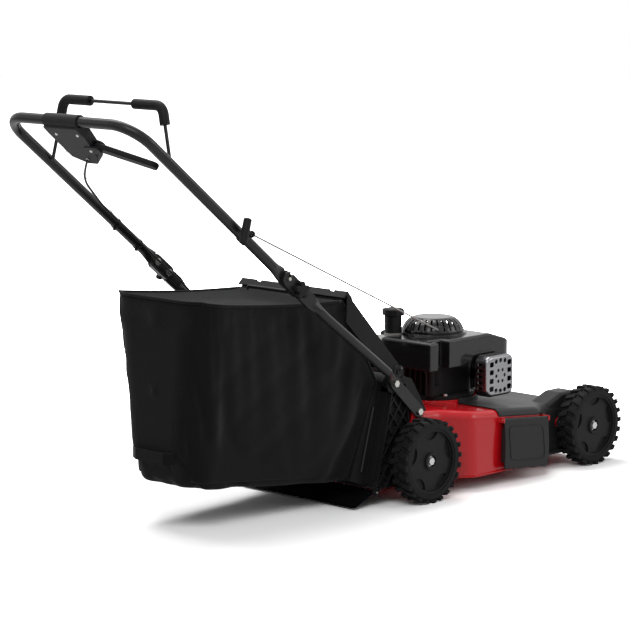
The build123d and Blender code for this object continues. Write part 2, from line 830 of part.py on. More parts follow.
# ------------------------------------------------------------------ upper handle
bail_back = 779.0               # its pivots, on the legs' centrelines
bail_pivot_x = ahead(-bail_back)
bail_pivot_z = fold_height + (fold_x - bail_pivot_x) * leg_rise / leg_run
bail_wire_radius = 4.0
bail_pin_y = leg_y - tube_radius + 5

upper_tube = bent_bar(
    [
        on_leg(flat_length + crush_length, -leg_y),
        (crossbar_x, -leg_y, handle_height),
        (crossbar_x, leg_y, handle_height),
        on_leg(flat_length + crush_length, leg_y),
    ],
    handle_bend_radius,
    tube_radius,
    tube_radius - tube_wall,
)

with BuildPart() as upper_handle:
    add(upper_tube)
    for side in (1, -1):
        add(flat_end(side * leg_y, flat_thickness, -17, flat_length + 4))
        add(crushed(side * leg_y, flat_length, flat_length + crush_length, tube_radius))
    for along in (0, lock_bolt_along):
        hole = on_leg(along, 0)
        add(cross_rod(hole.X, hole.Z, joint_bolt_hole, -leg_y - 20, leg_y + 20), mode=Mode.SUBTRACT)
    bail_holes = cross_rod(
        bail_pivot_x, bail_pivot_z, bail_wire_radius + running_gap, -bail_pin_y - 1, bail_pin_y + 1
    )
    add(bail_holes, mode=Mode.SUBTRACT)
finish(upper_handle, "upper_handle")

# ------------------------------------------------------------------ fold bolts and star knobs
bolt_head_radius = 8.5
bolt_head_height = 5.0
knob_radius = 21.0
knob_hub_radius = 13.0
knob_points = 5
knob_thickness = 13.0
inner_face = leg_y - flat_thickness / 2
outer_face = lower_y + flat_thickness / 2



def joint_bolts(along, end):
    """The pair of bolts through the flattened ends, at a distance up the leg: shanks and heads."""
    at = on_leg(along, 0)
    with BuildPart() as bolts:
        for side in (1, -1):
            add(cross_rod(at.X, at.Z, joint_bolt_radius, side * inner_face, side * end))
            head_from, head_to = side * (inner_face - hair), side * (inner_face - bolt_head_height)
            add(cross_rod(at.X, at.Z, bolt_head_radius, head_from, head_to))
    return bolts.part


with BuildPart() as fold_bolts:
    add(joint_bolts(lock_bolt_along, outer_face + 6))
finish(fold_bolts, "fold_bolts")

for side, label in ((-1, "right"), (1, "left")):
    knob_inner = outer_face + free_gap
    knob_outer = knob_inner + knob_thickness
    high = max(side * knob_inner, side * knob_outer)
    with BuildPart() as star_knob:
        with BuildSketch(side_plane(high)):
            with Locations((fold_x, fold_height)):
                Circle(knob_hub_radius)
                with PolarLocations(knob_radius - 6.5, knob_points, start_angle=90):
                    Circle(6.5)
        extrude(amount=knob_thickness)
        outer_edges = star_knob.faces().sort_by(Axis.Y)[0 if side < 0 else -1].edges()
        chamfer(outer_edges, 1.5)
        bore = cross_rod(fold_x, fold_height, joint_bolt_hole, side * knob_inner, side * (knob_outer - 2))
        add(bore, mode=Mode.SUBTRACT)
    finish(star_knob, f"star_knob_{label}")

# ------------------------------------------------------------------ engine
case_half = 76.0
case_top = 282.5
case_corner = 28.0
base_thickness = 10.0
cylinder_start = 70.0           # ahead of the crankshaft
cylinder_end = 164.0
cylinder_z = 242.0
fin_count = 9
fin_thickness = 3.2
fin_half_width = 55.0
fin_height = 78.0
barrel_half = 44.0
head_thickness = 24.0
shaft_bore = crankshaft_radius + running_gap
filler_from_shaft = (-88.0, -70.0)
filler_radius = 11.0
filler_top = 266.0

with BuildPart() as oil_filler:
    with Locations((engine_x + filler_from_shaft[0], filler_from_shaft[1], 0)):
        with Locations((0, 0, (engine_base_z + filler_top) / 2 + 6)):
            Cylinder(filler_radius, filler_top - engine_base_z - 12)
        with Locations((16, 0, engine_base_z + 24)):
            Box(36, 16, 24)
        with Locations((0, 0, filler_top - 8)):
            Cylinder(filler_radius - 3, 17, mode=Mode.SUBTRACT)

with BuildPart() as crankcase:
    with BuildSketch(Plane.XY.offset(engine_base_z)):
        with Locations((engine_x, 0)):
            Circle(engine_pad_radius - 6)
    extrude(amount=base_thickness)
    with BuildSketch(Plane.XY.offset(engine_base_z)):
        with Locations((engine_x, 0)):
            RectangleRounded(2 * case_half, 2 * case_half, case_corner)
    extrude(amount=case_top - engine_base_z)
    with BuildSketch(Plane.XY.offset(engine_base_z + base_thickness)):
        for y in (-54, -36, -18, 0, 18, 36, 54):
            with Locations((engine_x - case_half - 3, y)):
                Rectangle(12, 4)
    extrude(amount=case_top - engine_base_z - base_thickness - 12)
    barrel_from, barrel_to = engine_x + cylinder_start, engine_x + cylinder_end
    with Locations(((barrel_from + barrel_to) / 2, 0, cylinder_z)):
        Box(barrel_to - barrel_from, 2 * barrel_half, fin_height - 22)
    fin_pitch = (cylinder_end - cylinder_start - 12) / (fin_count - 1)
    for index in range(fin_count):
        fin_x = barrel_from + 10 + fin_pitch * index
        with BuildSketch(Plane(origin=(fin_x, 0, cylinder_z), x_dir=(0, 1, 0), z_dir=(1, 0, 0))):
            RectangleRounded(2 * fin_half_width, fin_height, 9)
        extrude(amount=fin_thickness / 2, both=True)
    add(oil_filler.part)
    with Locations((engine_x, 0, (engine_base_z + case_top) / 2)):
        Cylinder(shaft_bore, 200, mode=Mode.SUBTRACT)
    with Locations((engine_x, 0, engine_base_z)):
        for angle in engine_bolt_angles:
            with PolarLocations(engine_pad_radius - 14, 1, start_angle=angle):
                Cylinder(engine_bolt_radius + 0.2, 40, mode=Mode.SUBTRACT)
finish(crankcase, "crankcase")

head_from = barrel_to + hair
with BuildPart() as cylinder_head:
    head_plane = Plane(origin=(head_from, 0, cylinder_z), x_dir=(0, 1, 0), z_dir=(1, 0, 0))
    with BuildSketch(head_plane):
        RectangleRounded(2 * fin_half_width, fin_height, 12)
    extrude(amount=head_thickness)
    with BuildSketch(head_plane.offset(head_thickness)):
        for row in range(-3, 4):
            if row:
                with Locations((0, row * 11)):
                    Rectangle(2 * fin_half_width - 12, 6)
    extrude(amount=-head_thickness + 9, mode=Mode.SUBTRACT)
finish(cylinder_head, "cylinder_head")

plug_x = head_from + head_thickness + hair
terminal_radius = 3.2           # the ignition lead's cap pushes onto it
terminal_length = 12.0
with BuildPart() as spark_plug:
    with BuildSketch(Plane.XY) as plug_profile:
        with BuildLine():
            Polyline(
                (plug_x, 0), (plug_x, 10), (plug_x + 9, 10), (plug_x + 9, 7.5),
                (plug_x + 14, 7.5), (plug_x + 16, 5.5), (plug_x + 38, 5.0), (plug_x + 38, terminal_radius),
                (plug_x + 38 + terminal_length, terminal_radius), (plug_x + 38 + terminal_length, 0),
                close=True,
            )
        make_face()
    revolve(axis=Axis.X)
plug_up = Location((0, 0, cylinder_z))
with BuildPart() as placed_plug:
    with Locations(plug_up):
        add(spark_plug.part)
finish(placed_plug, "spark_plug")

shroud_bottom = 283.0
shroud_top = 353.0
shroud_wall = 3.0
shroud_half = 119.0
shroud_front = 178.0            # ahead of the crankshaft
shroud_rear = -66.0
block_rear = -148.0
block_left = 40.0
notch_from = -118.0
notch_to = -72.0
notch_depth = 28.0
dome_radius = 78.0
dome_top_radius = 47.0
dome_top = 394.0


def shroud_form(inset):
    """The cooling shroud as a solid, shrunk by an inset on every face but the bottom."""
    with BuildPart() as form:
        with BuildSketch(Plane.XY.offset(shroud_bottom)) as outline:
            with BuildLine():
                Polyline(
                    (engine_x + block_rear, -shroud_half - 4),
                    (engine_x + notch_from, -shroud_half - 4),
                    (engine_x + notch_from, -shroud_half + notch_depth),
                    (engine_x + notch_to, -shroud_half + notch_depth),
                    (engine_x + notch_to, -shroud_half),
                    (engine_x + shroud_front, -shroud_half),
                    (engine_x + shroud_front, shroud_half),
                    (engine_x + shroud_rear, shroud_half),
                    (engine_x + shroud_rear, block_left),
                    (engine_x + block_rear, block_left),
                    close=True,
                )
            make_face()
            by_x = outline.vertices().sort_by(Axis.X)
            far, rear, between = by_x[-2:], by_x[:2], by_x[2:-2]
            fillet(far, 42)
            fillet(rear, 15)
            fillet(between, 8)
            if inset:
                offset(amount=-inset, kind=Kind.INTERSECTION)
        extrude(amount=shroud_top - inset - shroud_bottom)
        with BuildSketch(side_plane(200)):
            with BuildLine():
                Polyline(
                    (engine_x + 86, shroud_top - inset),
                    (engine_x + 220, shroud_top - inset),
                    (engine_x + 220, shroud_top - inset - 40),
                    close=True,
                )
            make_face()
        extrude(amount=400, mode=Mode.SUBTRACT)
        rim = form.edges().filter_by(lambda edge: edge.center().Z > shroud_top - 45).filter_by(
            lambda edge: abs((edge @ 1 - edge @ 0).Z) < 38
        )
        fillet(rim, 7 - inset)
    return form.part


shroud_outside = shroud_form(0)
shroud_inside = shroud_form(shroud_wall)
cap_from_shaft = (-92.0, 52.0)
neck_radius = 22.0

with BuildPart() as blower_shroud:
    add(shroud_outside)
    with BuildSketch(Plane.XY.offset(shroud_top - 30)):
        with Locations((engine_x, 0)):
            Circle(dome_radius + 7)
    extrude(amount=34)
    add(shroud_inside, mode=Mode.SUBTRACT)
    with Locations((engine_x, 0, shroud_top)):
        Cylinder(dome_radius - 7, 80, mode=Mode.SUBTRACT)
    with Locations((engine_x + cap_from_shaft[0], cap_from_shaft[1], shroud_top)):
        Cylinder(neck_radius + 1, 120, mode=Mode.SUBTRACT)
finish(blower_shroud, "blower_shroud")

dome_base = shroud_top + 4 + hair
dome_wall = 3.0
slot_count = 28


def dome_form(inset):
    """The starter cover's dome as a solid of revolution, shrunk by an inset."""
    with BuildPart() as form:
        with BuildSketch(Plane.XZ):
            with BuildLine():
                base_r, top_r, top = dome_radius - inset, dome_top_radius - inset / 2, dome_top - inset
                Line((0, dome_base), (base_r, dome_base))
                Line((base_r, dome_base), (base_r, dome_base + 5))
                ThreePointArc((base_r, dome_base + 5), (base_r - 10, dome_base + 24), (top_r, top))
                Line((top_r, top), (0, top))
                Line((0, top), (0, dome_base))
            make_face()
        revolve(axis=Axis.Z)
    return form.part


dome_outside = dome_form(0)
dome_inside = dome_form(dome_wall)
pulley_radius = 33.0
pulley_pin_radius = 6.0
pulley_bottom = 361.0
pulley_height = 14.0
rope_radius = 1.6
rope_exit_from_shaft = (-47.0, -60.0, 369.0)

eye_along = 216.0
eye_off = 8.0
eye_y = -238.0
eye = on_leg(eye_along, eye_y, eye_off)
exit_x, exit_y, exit_z = rope_exit_from_shaft
rope_start = Vector(engine_x + exit_x, exit_y, exit_z)
rope_way = (eye - rope_start).normalized()

with BuildPart() as dome:
    add(dome_outside)
    add(dome_inside, mode=Mode.SUBTRACT)
    with PolarLocations(66, slot_count):
        with Locations((0, 0, dome_base + 21)):
            Box(24, 4.6, 26, mode=Mode.SUBTRACT)
    with Locations((0, 0, (pulley_bottom - 3 + dome_top) / 2)):
        Cylinder(pulley_pin_radius, dome_top - pulley_bottom + 3 - 0.1)
    with Locations((exit_x + 3, exit_y + 3.5, exit_z)):
        Cylinder(7, 14)
with BuildPart() as recoil_cover:
    with Locations((engine_x, 0, 0)):
        add(dome.part)
    rope_hole = bar(rope_start - rope_way * 20, rope_start + rope_way * 20, rope_radius + 0.4)
    add(rope_hole, mode=Mode.SUBTRACT)
finish(recoil_cover, "recoil_cover")

with BuildPart() as starter_pulley:
    with BuildSketch(Plane.XZ) as pulley_profile:
        inner_r = pulley_pin_radius + running_gap
        top_z = pulley_bottom + pulley_height
        with BuildLine():
            Polyline(
                (inner_r, pulley_bottom), (pulley_radius, pulley_bottom),
                (pulley_radius, pulley_bottom + 3), (pulley_radius - 7, pulley_bottom + 5),
                (pulley_radius - 7, top_z - 5), (pulley_radius, top_z - 3),
                (pulley_radius, top_z), (inner_r, top_z), close=True,
            )
        make_face()
    revolve(axis=Axis.Z)
with BuildPart() as placed_pulley:
    with Locations((engine_x, 0, 0)):
        add(starter_pulley.part)
finish(placed_pulley, "starter_pulley")

tank_bottom = 270.0
tank_top = shroud_top - shroud_wall - 4
tank_right = block_left + 4
tank_left = 112.0
tank_rear = block_rear - 2
tank_front = -78.0
neck_top = 400.0
cap_radius = 28.5
cap_bottom = 401.0
cap_top = 418.0
cap_x = engine_x + cap_from_shaft[0]

with BuildPart() as fuel_tank:
    with Locations(
        (
            engine_x + (tank_rear + tank_front) / 2,
            (tank_left + tank_right) / 2,
            (tank_bottom + tank_top) / 2,
        )
    ):
        Box(tank_front - tank_rear, tank_left - tank_right, tank_top - tank_bottom)
    fillet(fuel_tank.edges(), 12)
    with Locations((cap_x, cap_from_shaft[1], (neck_top + tank_top) / 2 - 10)):
        Cylinder(neck_radius, neck_top - tank_top + 20)
        Cylinder(neck_radius - 4, neck_top - tank_top + 21, mode=Mode.SUBTRACT)
finish(fuel_tank, "fuel_tank")

cap_lobes = 6
with BuildPart() as fuel_cap:
    with BuildSketch(Plane.XY.offset(cap_bottom)):
        with Locations((cap_x, cap_from_shaft[1])):
            Circle(cap_radius - 3)
            with PolarLocations(cap_radius - 6, cap_lobes):
                Circle(6)
    extrude(amount=cap_top - cap_bottom)
    chamfer(fuel_cap.faces().sort_by(Axis.Z)[-1].edges(), 3)
    with BuildSketch(Plane.XY.offset(cap_bottom)):
        with Locations((cap_x, cap_from_shaft[1])):
            Circle(neck_radius - 4 - free_gap)
    extrude(amount=-9)
finish(fuel_cap, "fuel_cap")

with BuildPart() as oil_cap:
    with Locations((engine_x + filler_from_shaft[0], filler_from_shaft[1], 0)):
        with Locations((0, 0, filler_top + 6 + free_gap)):
            Cylinder(filler_radius + 3, 12)
        with Locations((0, 0, filler_top - 5)):
            Cylinder(filler_radius - 3 - free_gap, 11)
        with Locations((0, 0, filler_top + 17)):
            Box(22, 5, 12)
finish(oil_cap, "oil_cap")

carb_y = (case_half + hair, 122.0)
with BuildPart() as carburettor:
    with Locations((engine_x + 10, (carb_y[0] + carb_y[1]) / 2, 250)):
        Box(40, carb_y[1] - carb_y[0], 36)
    fillet(carburettor.edges().filter_by(Axis.Y), 6)
    with Locations((engine_x + 10, 101, 226)):
        Cylinder(19, 22)
    with Locations(Location((engine_x + 42, 102, 255), (0, 90, 0))):
        Cylinder(4, 30)
finish(carburettor, "carburettor")

filter_y = (carb_y[1] + hair, 170.0)
with BuildPart() as air_filter:
    filter_middle = (filter_y[0] + filter_y[1]) / 2
    with Locations((engine_x + 12, filter_middle, 268)):
        Box(128, filter_y[1] - filter_y[0], 92)
    fillet(air_filter.edges().filter_by(Axis.Y), 16)
    fillet(air_filter.faces().sort_by(Axis.Y)[-1].edges(), 7)
    with BuildSketch(Plane(origin=(engine_x + 12, filter_y[1], 268), z_dir=(0, 1, 0))):
        with GridLocations(13, 1, 7, 1):
            RectangleRounded(5, 56, 2)
    extrude(amount=-3, mode=Mode.SUBTRACT)
finish(air_filter, "air_filter")

guard_rear = 19.0               # ahead of the crankshaft
guard_front = 123.0
guard_bottom = 200.0
guard_top = 304.0
guard_face_y = -165.0
guard_back_y = -126.0
guard_wall = 1.6
guard_corner = 20.0
exhaust_ahead = 100.0
guard_middle = (engine_x + (guard_rear + guard_front) / 2, (guard_bottom + guard_top) / 2)

with BuildPart() as muffler:
    with BuildSketch(side_plane(guard_back_y + 3)):
        with Locations(guard_middle):
            RectangleRounded(guard_front - guard_rear - 16, guard_top - guard_bottom - 16, 14)
    extrude(amount=guard_back_y + 3 - guard_face_y - 12)
    fillet(muffler.faces().sort_by(Axis.Y)[0].edges(), 7)
    pipe = cross_rod(engine_x + exhaust_ahead, cylinder_z, 13, -fin_half_width - hair, guard_back_y + 3)
    add(pipe)
finish(muffler, "muffler")

with BuildPart() as guard_inside:
    with BuildSketch(side_plane(guard_back_y + 1)):
        with Locations(guard_middle):
            RectangleRounded(
                guard_front - guard_rear - 2 * guard_wall,
                guard_top - guard_bottom - 2 * guard_wall,
                guard_corner - guard_wall,
            )
    extrude(amount=guard_back_y + 1 - guard_face_y - guard_wall)
    fillet(guard_inside.faces().sort_by(Axis.Y)[0].edges(), 8 - guard_wall)

with BuildPart() as muffler_guard:
    with BuildSketch(side_plane(guard_back_y)):
        with Locations(guard_middle):
            RectangleRounded(guard_front - guard_rear, guard_top - guard_bottom, guard_corner)
    extrude(amount=guard_back_y - guard_face_y)
    fillet(muffler_guard.faces().sort_by(Axis.Y)[0].edges(), 8)
    add(guard_inside.part, mode=Mode.SUBTRACT)
    with BuildSketch(side_plane(guard_face_y + 3)):
        with Locations(guard_middle):
            for column in (-1, 1):
                for row in (-31, -11, 11, 31):
                    with Locations((column * 34, row)):
                        RectangleRounded(15, 12, 3)
            with Locations((0, 39), (0, -39), (-17, -37), (17, -37), (-17, 37), (17, 37)):
                Circle(5.5)
            with PolarLocations(16, 6):
                Circle(4)
    extrude(amount=6, mode=Mode.SUBTRACT)
    for z in (-30, -15, 0, 15, 30):
        with Locations((engine_x + guard_rear, (guard_back_y + guard_face_y) / 2 + 4, guard_middle[1] + z)):
            Box(6, 12, 7, mode=Mode.SUBTRACT)
    for x in (-34, 34):
        strut_x = guard_middle[0] + x
        strut_end = guard_face_y + 12 - hair
        add(cross_rod(strut_x, guard_middle[1], 3, guard_face_y + guard_wall / 2, strut_end))
finish(muffler_guard, "muffler_guard")

# ------------------------------------------------------------------ crankshaft, flywheel, blade
shaft_top = 344.0
flywheel_radius = 60.0
flywheel_bottom = 300.0
flywheel_top = 322.0
fan_count = 16
blade_radius = 232.0
blade_width = 56.0
blade_thickness = 4.0
blade_z = 50.0
adapter_radius = 24.0
pulley_z = 147.0                # drive belt's middle
drive_pulley_radius = 30.0

with BuildPart() as crankshaft:
    with BuildSketch(Plane.XY.offset(blade_z + blade_thickness + hair)):
        with Locations((engine_x, 0)):
            Circle(crankshaft_radius)
    extrude(amount=shaft_top - blade_z - blade_thickness)
    with BuildSketch(Plane.XY.offset(blade_z + blade_thickness + hair)):
        with Locations((engine_x, 0)):
            Circle(adapter_radius)
    extrude(amount=14)
    with BuildSketch(Plane.XZ):
        groove = [
            (0, pulley_z - 9), (drive_pulley_radius, pulley_z - 9),
            (drive_pulley_radius, pulley_z - 6), (drive_pulley_radius - 8, pulley_z - 4.2),
            (drive_pulley_radius - 8, pulley_z + 4.2), (drive_pulley_radius, pulley_z + 6),
            (drive_pulley_radius, pulley_z + 9), (0, pulley_z + 9),
        ]
        with BuildLine():
            Polyline(*[(engine_x + r, z) for r, z in groove], close=True)
        make_face()
    revolve(axis=Axis((engine_x, 0, 0), (0, 0, 1)))
finish(crankshaft, "crankshaft")

with BuildPart() as flywheel:
    with Locations((engine_x, 0, (flywheel_bottom + flywheel_top) / 2)):
        Cylinder(flywheel_radius, flywheel_top - flywheel_bottom)
    with Locations((engine_x, 0, flywheel_top + 8)):
        with PolarLocations(flywheel_radius - 16, fan_count):
            Box(28, 3, 18)
    with Locations((engine_x, 0, flywheel_top)):
        Cylinder(crankshaft_radius + same_body_gap, 60, mode=Mode.SUBTRACT)
finish(flywheel, "flywheel")

with BuildPart() as blade:
    with BuildSketch(Plane.XY.offset(blade_z)):
        with Locations((engine_x, 0)):
            Rectangle(2 * blade_radius, blade_width)
            Circle(blade_radius, mode=Mode.INTERSECT)
    extrude(amount=blade_thickness)
    for turn in (0, 180):
        wing = Plane(
            origin=(engine_x, 0, blade_z), x_dir=(cos(radians(turn)), sin(radians(turn)), 0), z_dir=(0, 0, 1)
        )
        wing_root = wing.origin + wing.x_dir * (blade_radius - 92)
        with BuildSketch(Plane(wing_root, z_dir=wing.x_dir, x_dir=wing.y_dir)):
            with BuildLine():
                Polyline(
                    (blade_width / 2 - 16, 0), (blade_width / 2, 0), (blade_width / 2 + 8, 20),
                    (blade_width / 2 + 3, 20), (blade_width / 2 - 6, blade_thickness),
                    (blade_width / 2 - 16, blade_thickness), close=True,
                )
            make_face()
        extrude(amount=78)
    with Locations((engine_x, 0, blade_z - 6 - hair)):
        Cylinder(18, 2)
        with Locations((0, 0, -5)):
            Cylinder(11, 8)
    with Locations((engine_x, 0, blade_z - 3)):
        Cylinder(17, 6.1)
finish(blade, "blade")

# ------------------------------------------------------------------ front cover and side door
cover_start = 270.0             # where the black cover begins on the deck's top
cover_skirt_start = 454.0
cover_gap = 0.5
cover_wall = 3.0
cover_over_door = 14.0          # reaches this far down from the deck's top plane, above the side door
flange_rise = 7.0
shoulder_inner = 138.0
shoulder_outer = 200.0
shoulder_profile = [(512, 140), (512, 163), (574, 186), (626, 186), (660, 158), (660, 140)]

cover_outside = deck_form(-cover_gap - cover_wall)
cover_inside = deck_form(-cover_gap)
shoulders = []
for side in (1, -1):
    with BuildPart() as shoulder:
        add(side_slab(shoulder_profile, side * shoulder_inner, side * shoulder_outer, 12))
        for place in (0, -1):
            flank = shoulder.faces().sort_by(Axis.Y)[place]
            fillet(flank.edges().filter_by(lambda edge: edge.center().Z > 150), 11)
    shoulders.append(shoulder.part)

with BuildPart() as cover_flange:
    with BuildSketch(Plane.XY.offset(deck_lip_z)):
        add(deck_outline(lip_width + free_gap + cover_wall))
    extrude(amount=flange_rise)
    with BuildSketch(Plane.XY.offset(deck_lip_z)):
        add(deck_outline(lip_width + free_gap))
    extrude(amount=lip_thickness + free_gap, mode=Mode.SUBTRACT)

with BuildPart() as front_cover:
    add(cover_outside)
    for shoulder in shoulders:
        add(shoulder)
    below_lip = [(0, 0), (720, 0), (720, deck_lip_z + flange_rise - 1), (0, deck_lip_z + flange_rise - 1)]
    add(side_slab(below_lip, -300, 300), mode=Mode.SUBTRACT)
    add(cover_flange.part)
    add(cover_inside, mode=Mode.SUBTRACT)
    behind = [(-100, 0), (cover_start, 0), (cover_start, 300), (-100, 300)]
    add(side_slab(behind, -300, 300), mode=Mode.SUBTRACT)
    beside_door = [
        (cover_start - 10, 0),
        (cover_skirt_start, 0),
        (cover_skirt_start, deck_top_at(cover_skirt_start) - cover_over_door),
        (cover_start - 10, deck_top_at(cover_start - 10) - cover_over_door),
    ]
    add(side_slab(beside_door, -300, 300), mode=Mode.SUBTRACT)
    with Locations((engine_x, 0, engine_base_z)):
        Cylinder(engine_pad_radius + 2, 60, mode=Mode.SUBTRACT)
    for x, side in pivots.values():
        if x > engine_x:
            boss_hole = cross_rod(x, pivot_z, boss_radius + 1, side * 150, side * 230)
            add(boss_hole, mode=Mode.SUBTRACT)
finish(front_cover, "front_cover")

side_door_wall = 4.0
side_door_drop = 120.0          # its bottom edge, below the hinge
side_door_corner = 26.0
hinge_way = (side_hinge_at(1) - side_hinge_at(0)).normalized()


def door_plane(distance_ahead):
    """A plane across the side door, whose axes run along the frame's Y and up from the hinge line."""
    return Plane(origin=side_hinge_at(distance_ahead), x_dir=(0, 1, 0), z_dir=hinge_way)


door_length = (side_hinge_at(side_door_end) - side_hinge_at(side_door_start)).length
with BuildPart() as side_discharge_door:
    with BuildSketch(door_plane(side_door_start)):
        with BuildLine():
            outer_skin = ThreePointArc((-4.5, 0), (-12, -52), (-15.5, -side_door_drop))
            hem = Line(outer_skin @ 1, (-15.5 + side_door_wall, -side_door_drop))
            inner_skin = ThreePointArc(hem @ 1, (-12 + side_door_wall, -54), (0, -4.5))
            Line(inner_skin @ 1, outer_skin @ 0)
        make_face()
    extrude(amount=door_length)
    for plane in (door_plane(side_door_start), door_plane(side_door_end).offset(-side_door_wall)):
        with BuildSketch(plane):
            with BuildLine():
                Polyline((-6, -22), (-10.5, -60), (-12.5, -104), (-3, -104), (3, -22), close=True)
            make_face()
        extrude(amount=side_door_wall)
    door_side = Plane(origin=side_hinge_at(side_door_start), x_dir=hinge_way, z_dir=(0, -1, 0))
    with BuildSketch(door_side.offset(-20)) as door_outline:
        with Locations((door_length / 2, 10 - (side_door_drop + 20) / 2)):
            Rectangle(door_length, side_door_drop + 20)
        fillet(door_outline.vertices().sort_by(Axis.Y)[:2], side_door_corner)
    extrude(amount=60, mode=Mode.INTERSECT)
    add(bar(side_hinge_at(side_door_start), side_hinge_at(side_door_end), side_barrel_radius))
    add(side_hinge_hole, mode=Mode.SUBTRACT)
finish(side_discharge_door, "side_discharge_door")

with BuildPart() as hinge_rods:
    door_rod_end = hinge_ear_y + hinge_ear_thickness + 2
    add(cross_rod(ahead(door_hinge[0]), door_hinge[1], hinge_rod_radius, -door_rod_end, door_rod_end))
    flap_rod_end = flap_half + free_gap + hinge_ear_thickness + 2
    add(cross_rod(ahead(flap_hinge[0]), flap_hinge[1], flap_rod_radius, -flap_rod_end, flap_rod_end))
    add(bar(side_hinge_at(side_door_start - 7), side_hinge_at(side_door_end + 7), side_rod_radius))
finish(hinge_rods, "hinge_rods")

# ------------------------------------------------------------------ height adjusters
arm_radius = 15.0
lever_length = 62.0
lever_width = 14.0
lever_lean = 25.0
collar_radius = 10.0
washer_radius = 13.0
nut_radius = 9.5
arm_outer_y = arm_inner_y + arm_thickness
hub_inner_y = wheel_y - hub_back
recess_y = wheel_y + hub_face - hub_recess_depth

for corner, (axle_x, side) in corners.items():
    pivot_x = pivots[corner][0]
    lean = radians(lever_lean if pivot_x > engine_x else -lever_lean)
    tip = (pivot_x + lever_length * sin(lean), pivot_z + lever_length * cos(lean))
    high = max(side * arm_inner_y, side * arm_outer_y)
    stud_end = side * (recess_y + free_gap)
    with BuildPart() as height_adjuster:
        with BuildSketch(side_plane(high)):
            with Locations((pivot_x, pivot_z), (axle_x, wheel_radius)):
                Circle(arm_radius)
            make_hull()
        extrude(amount=arm_thickness)
        with BuildSketch(side_plane(high)):
            with Locations((pivot_x, pivot_z), tip):
                Circle(lever_width / 2)
            make_hull()
        extrude(amount=arm_thickness)
        collar_end = hub_inner_y - free_gap
        add(cross_rod(axle_x, wheel_radius, collar_radius, side * arm_outer_y, side * collar_end))
        add(cross_rod(axle_x, wheel_radius, stud_radius, side * arm_outer_y, stud_end))
        washer_end = stud_end + side * 2
        add(cross_rod(axle_x, wheel_radius, washer_radius, stud_end, washer_end))
        with BuildSketch(side_plane(max(washer_end, washer_end + side * 7))):
            with Locations((axle_x, wheel_radius)):
                RegularPolygon(nut_radius, 6)
        extrude(amount=7)
        hole = cross_rod(pivot_x, pivot_z, pivot_radius + running_gap, side * 200, side * 216)
        add(hole, mode=Mode.SUBTRACT)
    finish(height_adjuster, f"height_adjuster_{corner}")

# ------------------------------------------------------------------ fasteners
hex_radius = 8.5
pivot_head_radius = 10.0

with BuildPart() as deck_bolts:
    add(joint_bolts(0, outer_face + knob_thickness - 3))
    for side in (1, -1):
        for x, z in fixings:
            outer = plate_y + plate_thickness / 2 + hair
            add(cross_rod(ahead(x), z, bolt_radius, side * (ear_outer_y - 4), side * outer))
            high = max(side * outer, side * (outer + 5.5))
            with BuildSketch(side_plane(high)):
                with Locations((ahead(x), z)):
                    RegularPolygon(hex_radius, 6)
            extrude(amount=5.5)
    for x, side in pivots.values():
        head_from = arm_outer_y + free_gap
        add(cross_rod(x, pivot_z, pivot_radius, side * (boss_face_y + hair), side * head_from))
        add(cross_rod(x, pivot_z, pivot_head_radius, side * head_from, side * (head_from + 3.5)))
    with Locations((engine_x, 0, engine_base_z + base_thickness + hair + 2.5)):
        for angle in engine_bolt_angles:
            with PolarLocations(engine_pad_radius - 14, 1, start_angle=angle):
                Cylinder(7, 5)
                with Locations((0, 0, -7)):
                    Cylinder(engine_bolt_radius, 9)
finish(deck_bolts, "deck_bolts")

hook_inner_y = housing_half + rib_height + hair

with BuildPart() as handle_hooks:
    for side in (1, -1):
        high = max(side * hook_inner_y, side * (ear_outer_y - 0.2))
        with BuildSketch(side_plane(high)):
            with Locations((ahead(upper_fixing[0]), upper_fixing[1])):
                Circle(24)
            with Locations((ahead(upper_fixing[0] + 14), upper_fixing[1] + 26)):
                Circle(15)
                Circle(8, mode=Mode.SUBTRACT)
            with Locations((ahead(upper_fixing[0] + 26), upper_fixing[1] + 22)):
                Rectangle(24, 9, mode=Mode.SUBTRACT)
            with Locations((ahead(upper_fixing[0]), upper_fixing[1])):
                Circle(14 + same_body_gap, mode=Mode.SUBTRACT)
        extrude(amount=ear_outer_y - 0.2 - hook_inner_y)
finish(handle_hooks, "handle_hooks")

# ------------------------------------------------------------------ controls on the crossbar
bracket_left = 63.0
bracket_right = -46.0
bracket_reach = 134.0
bracket_above = 5.0
bracket_below = 20.0
lever_hub_y = -44.0
lever_hub_down = 78.0
lever_offset = -11.0            # off the handle's plane, clear of the bail
drive_lever_length = 142.0
drive_lever_drop = 23.0         # degrees below the crossbar's line
drive_lever_thickness = 13.0
lever_pin_radius = 3.0
lever_hub_radius = 11.0
controls = Plane(origin=(crossbar_x, 0, handle_height), x_dir=(0, 1, 0), z_dir=off_leg)

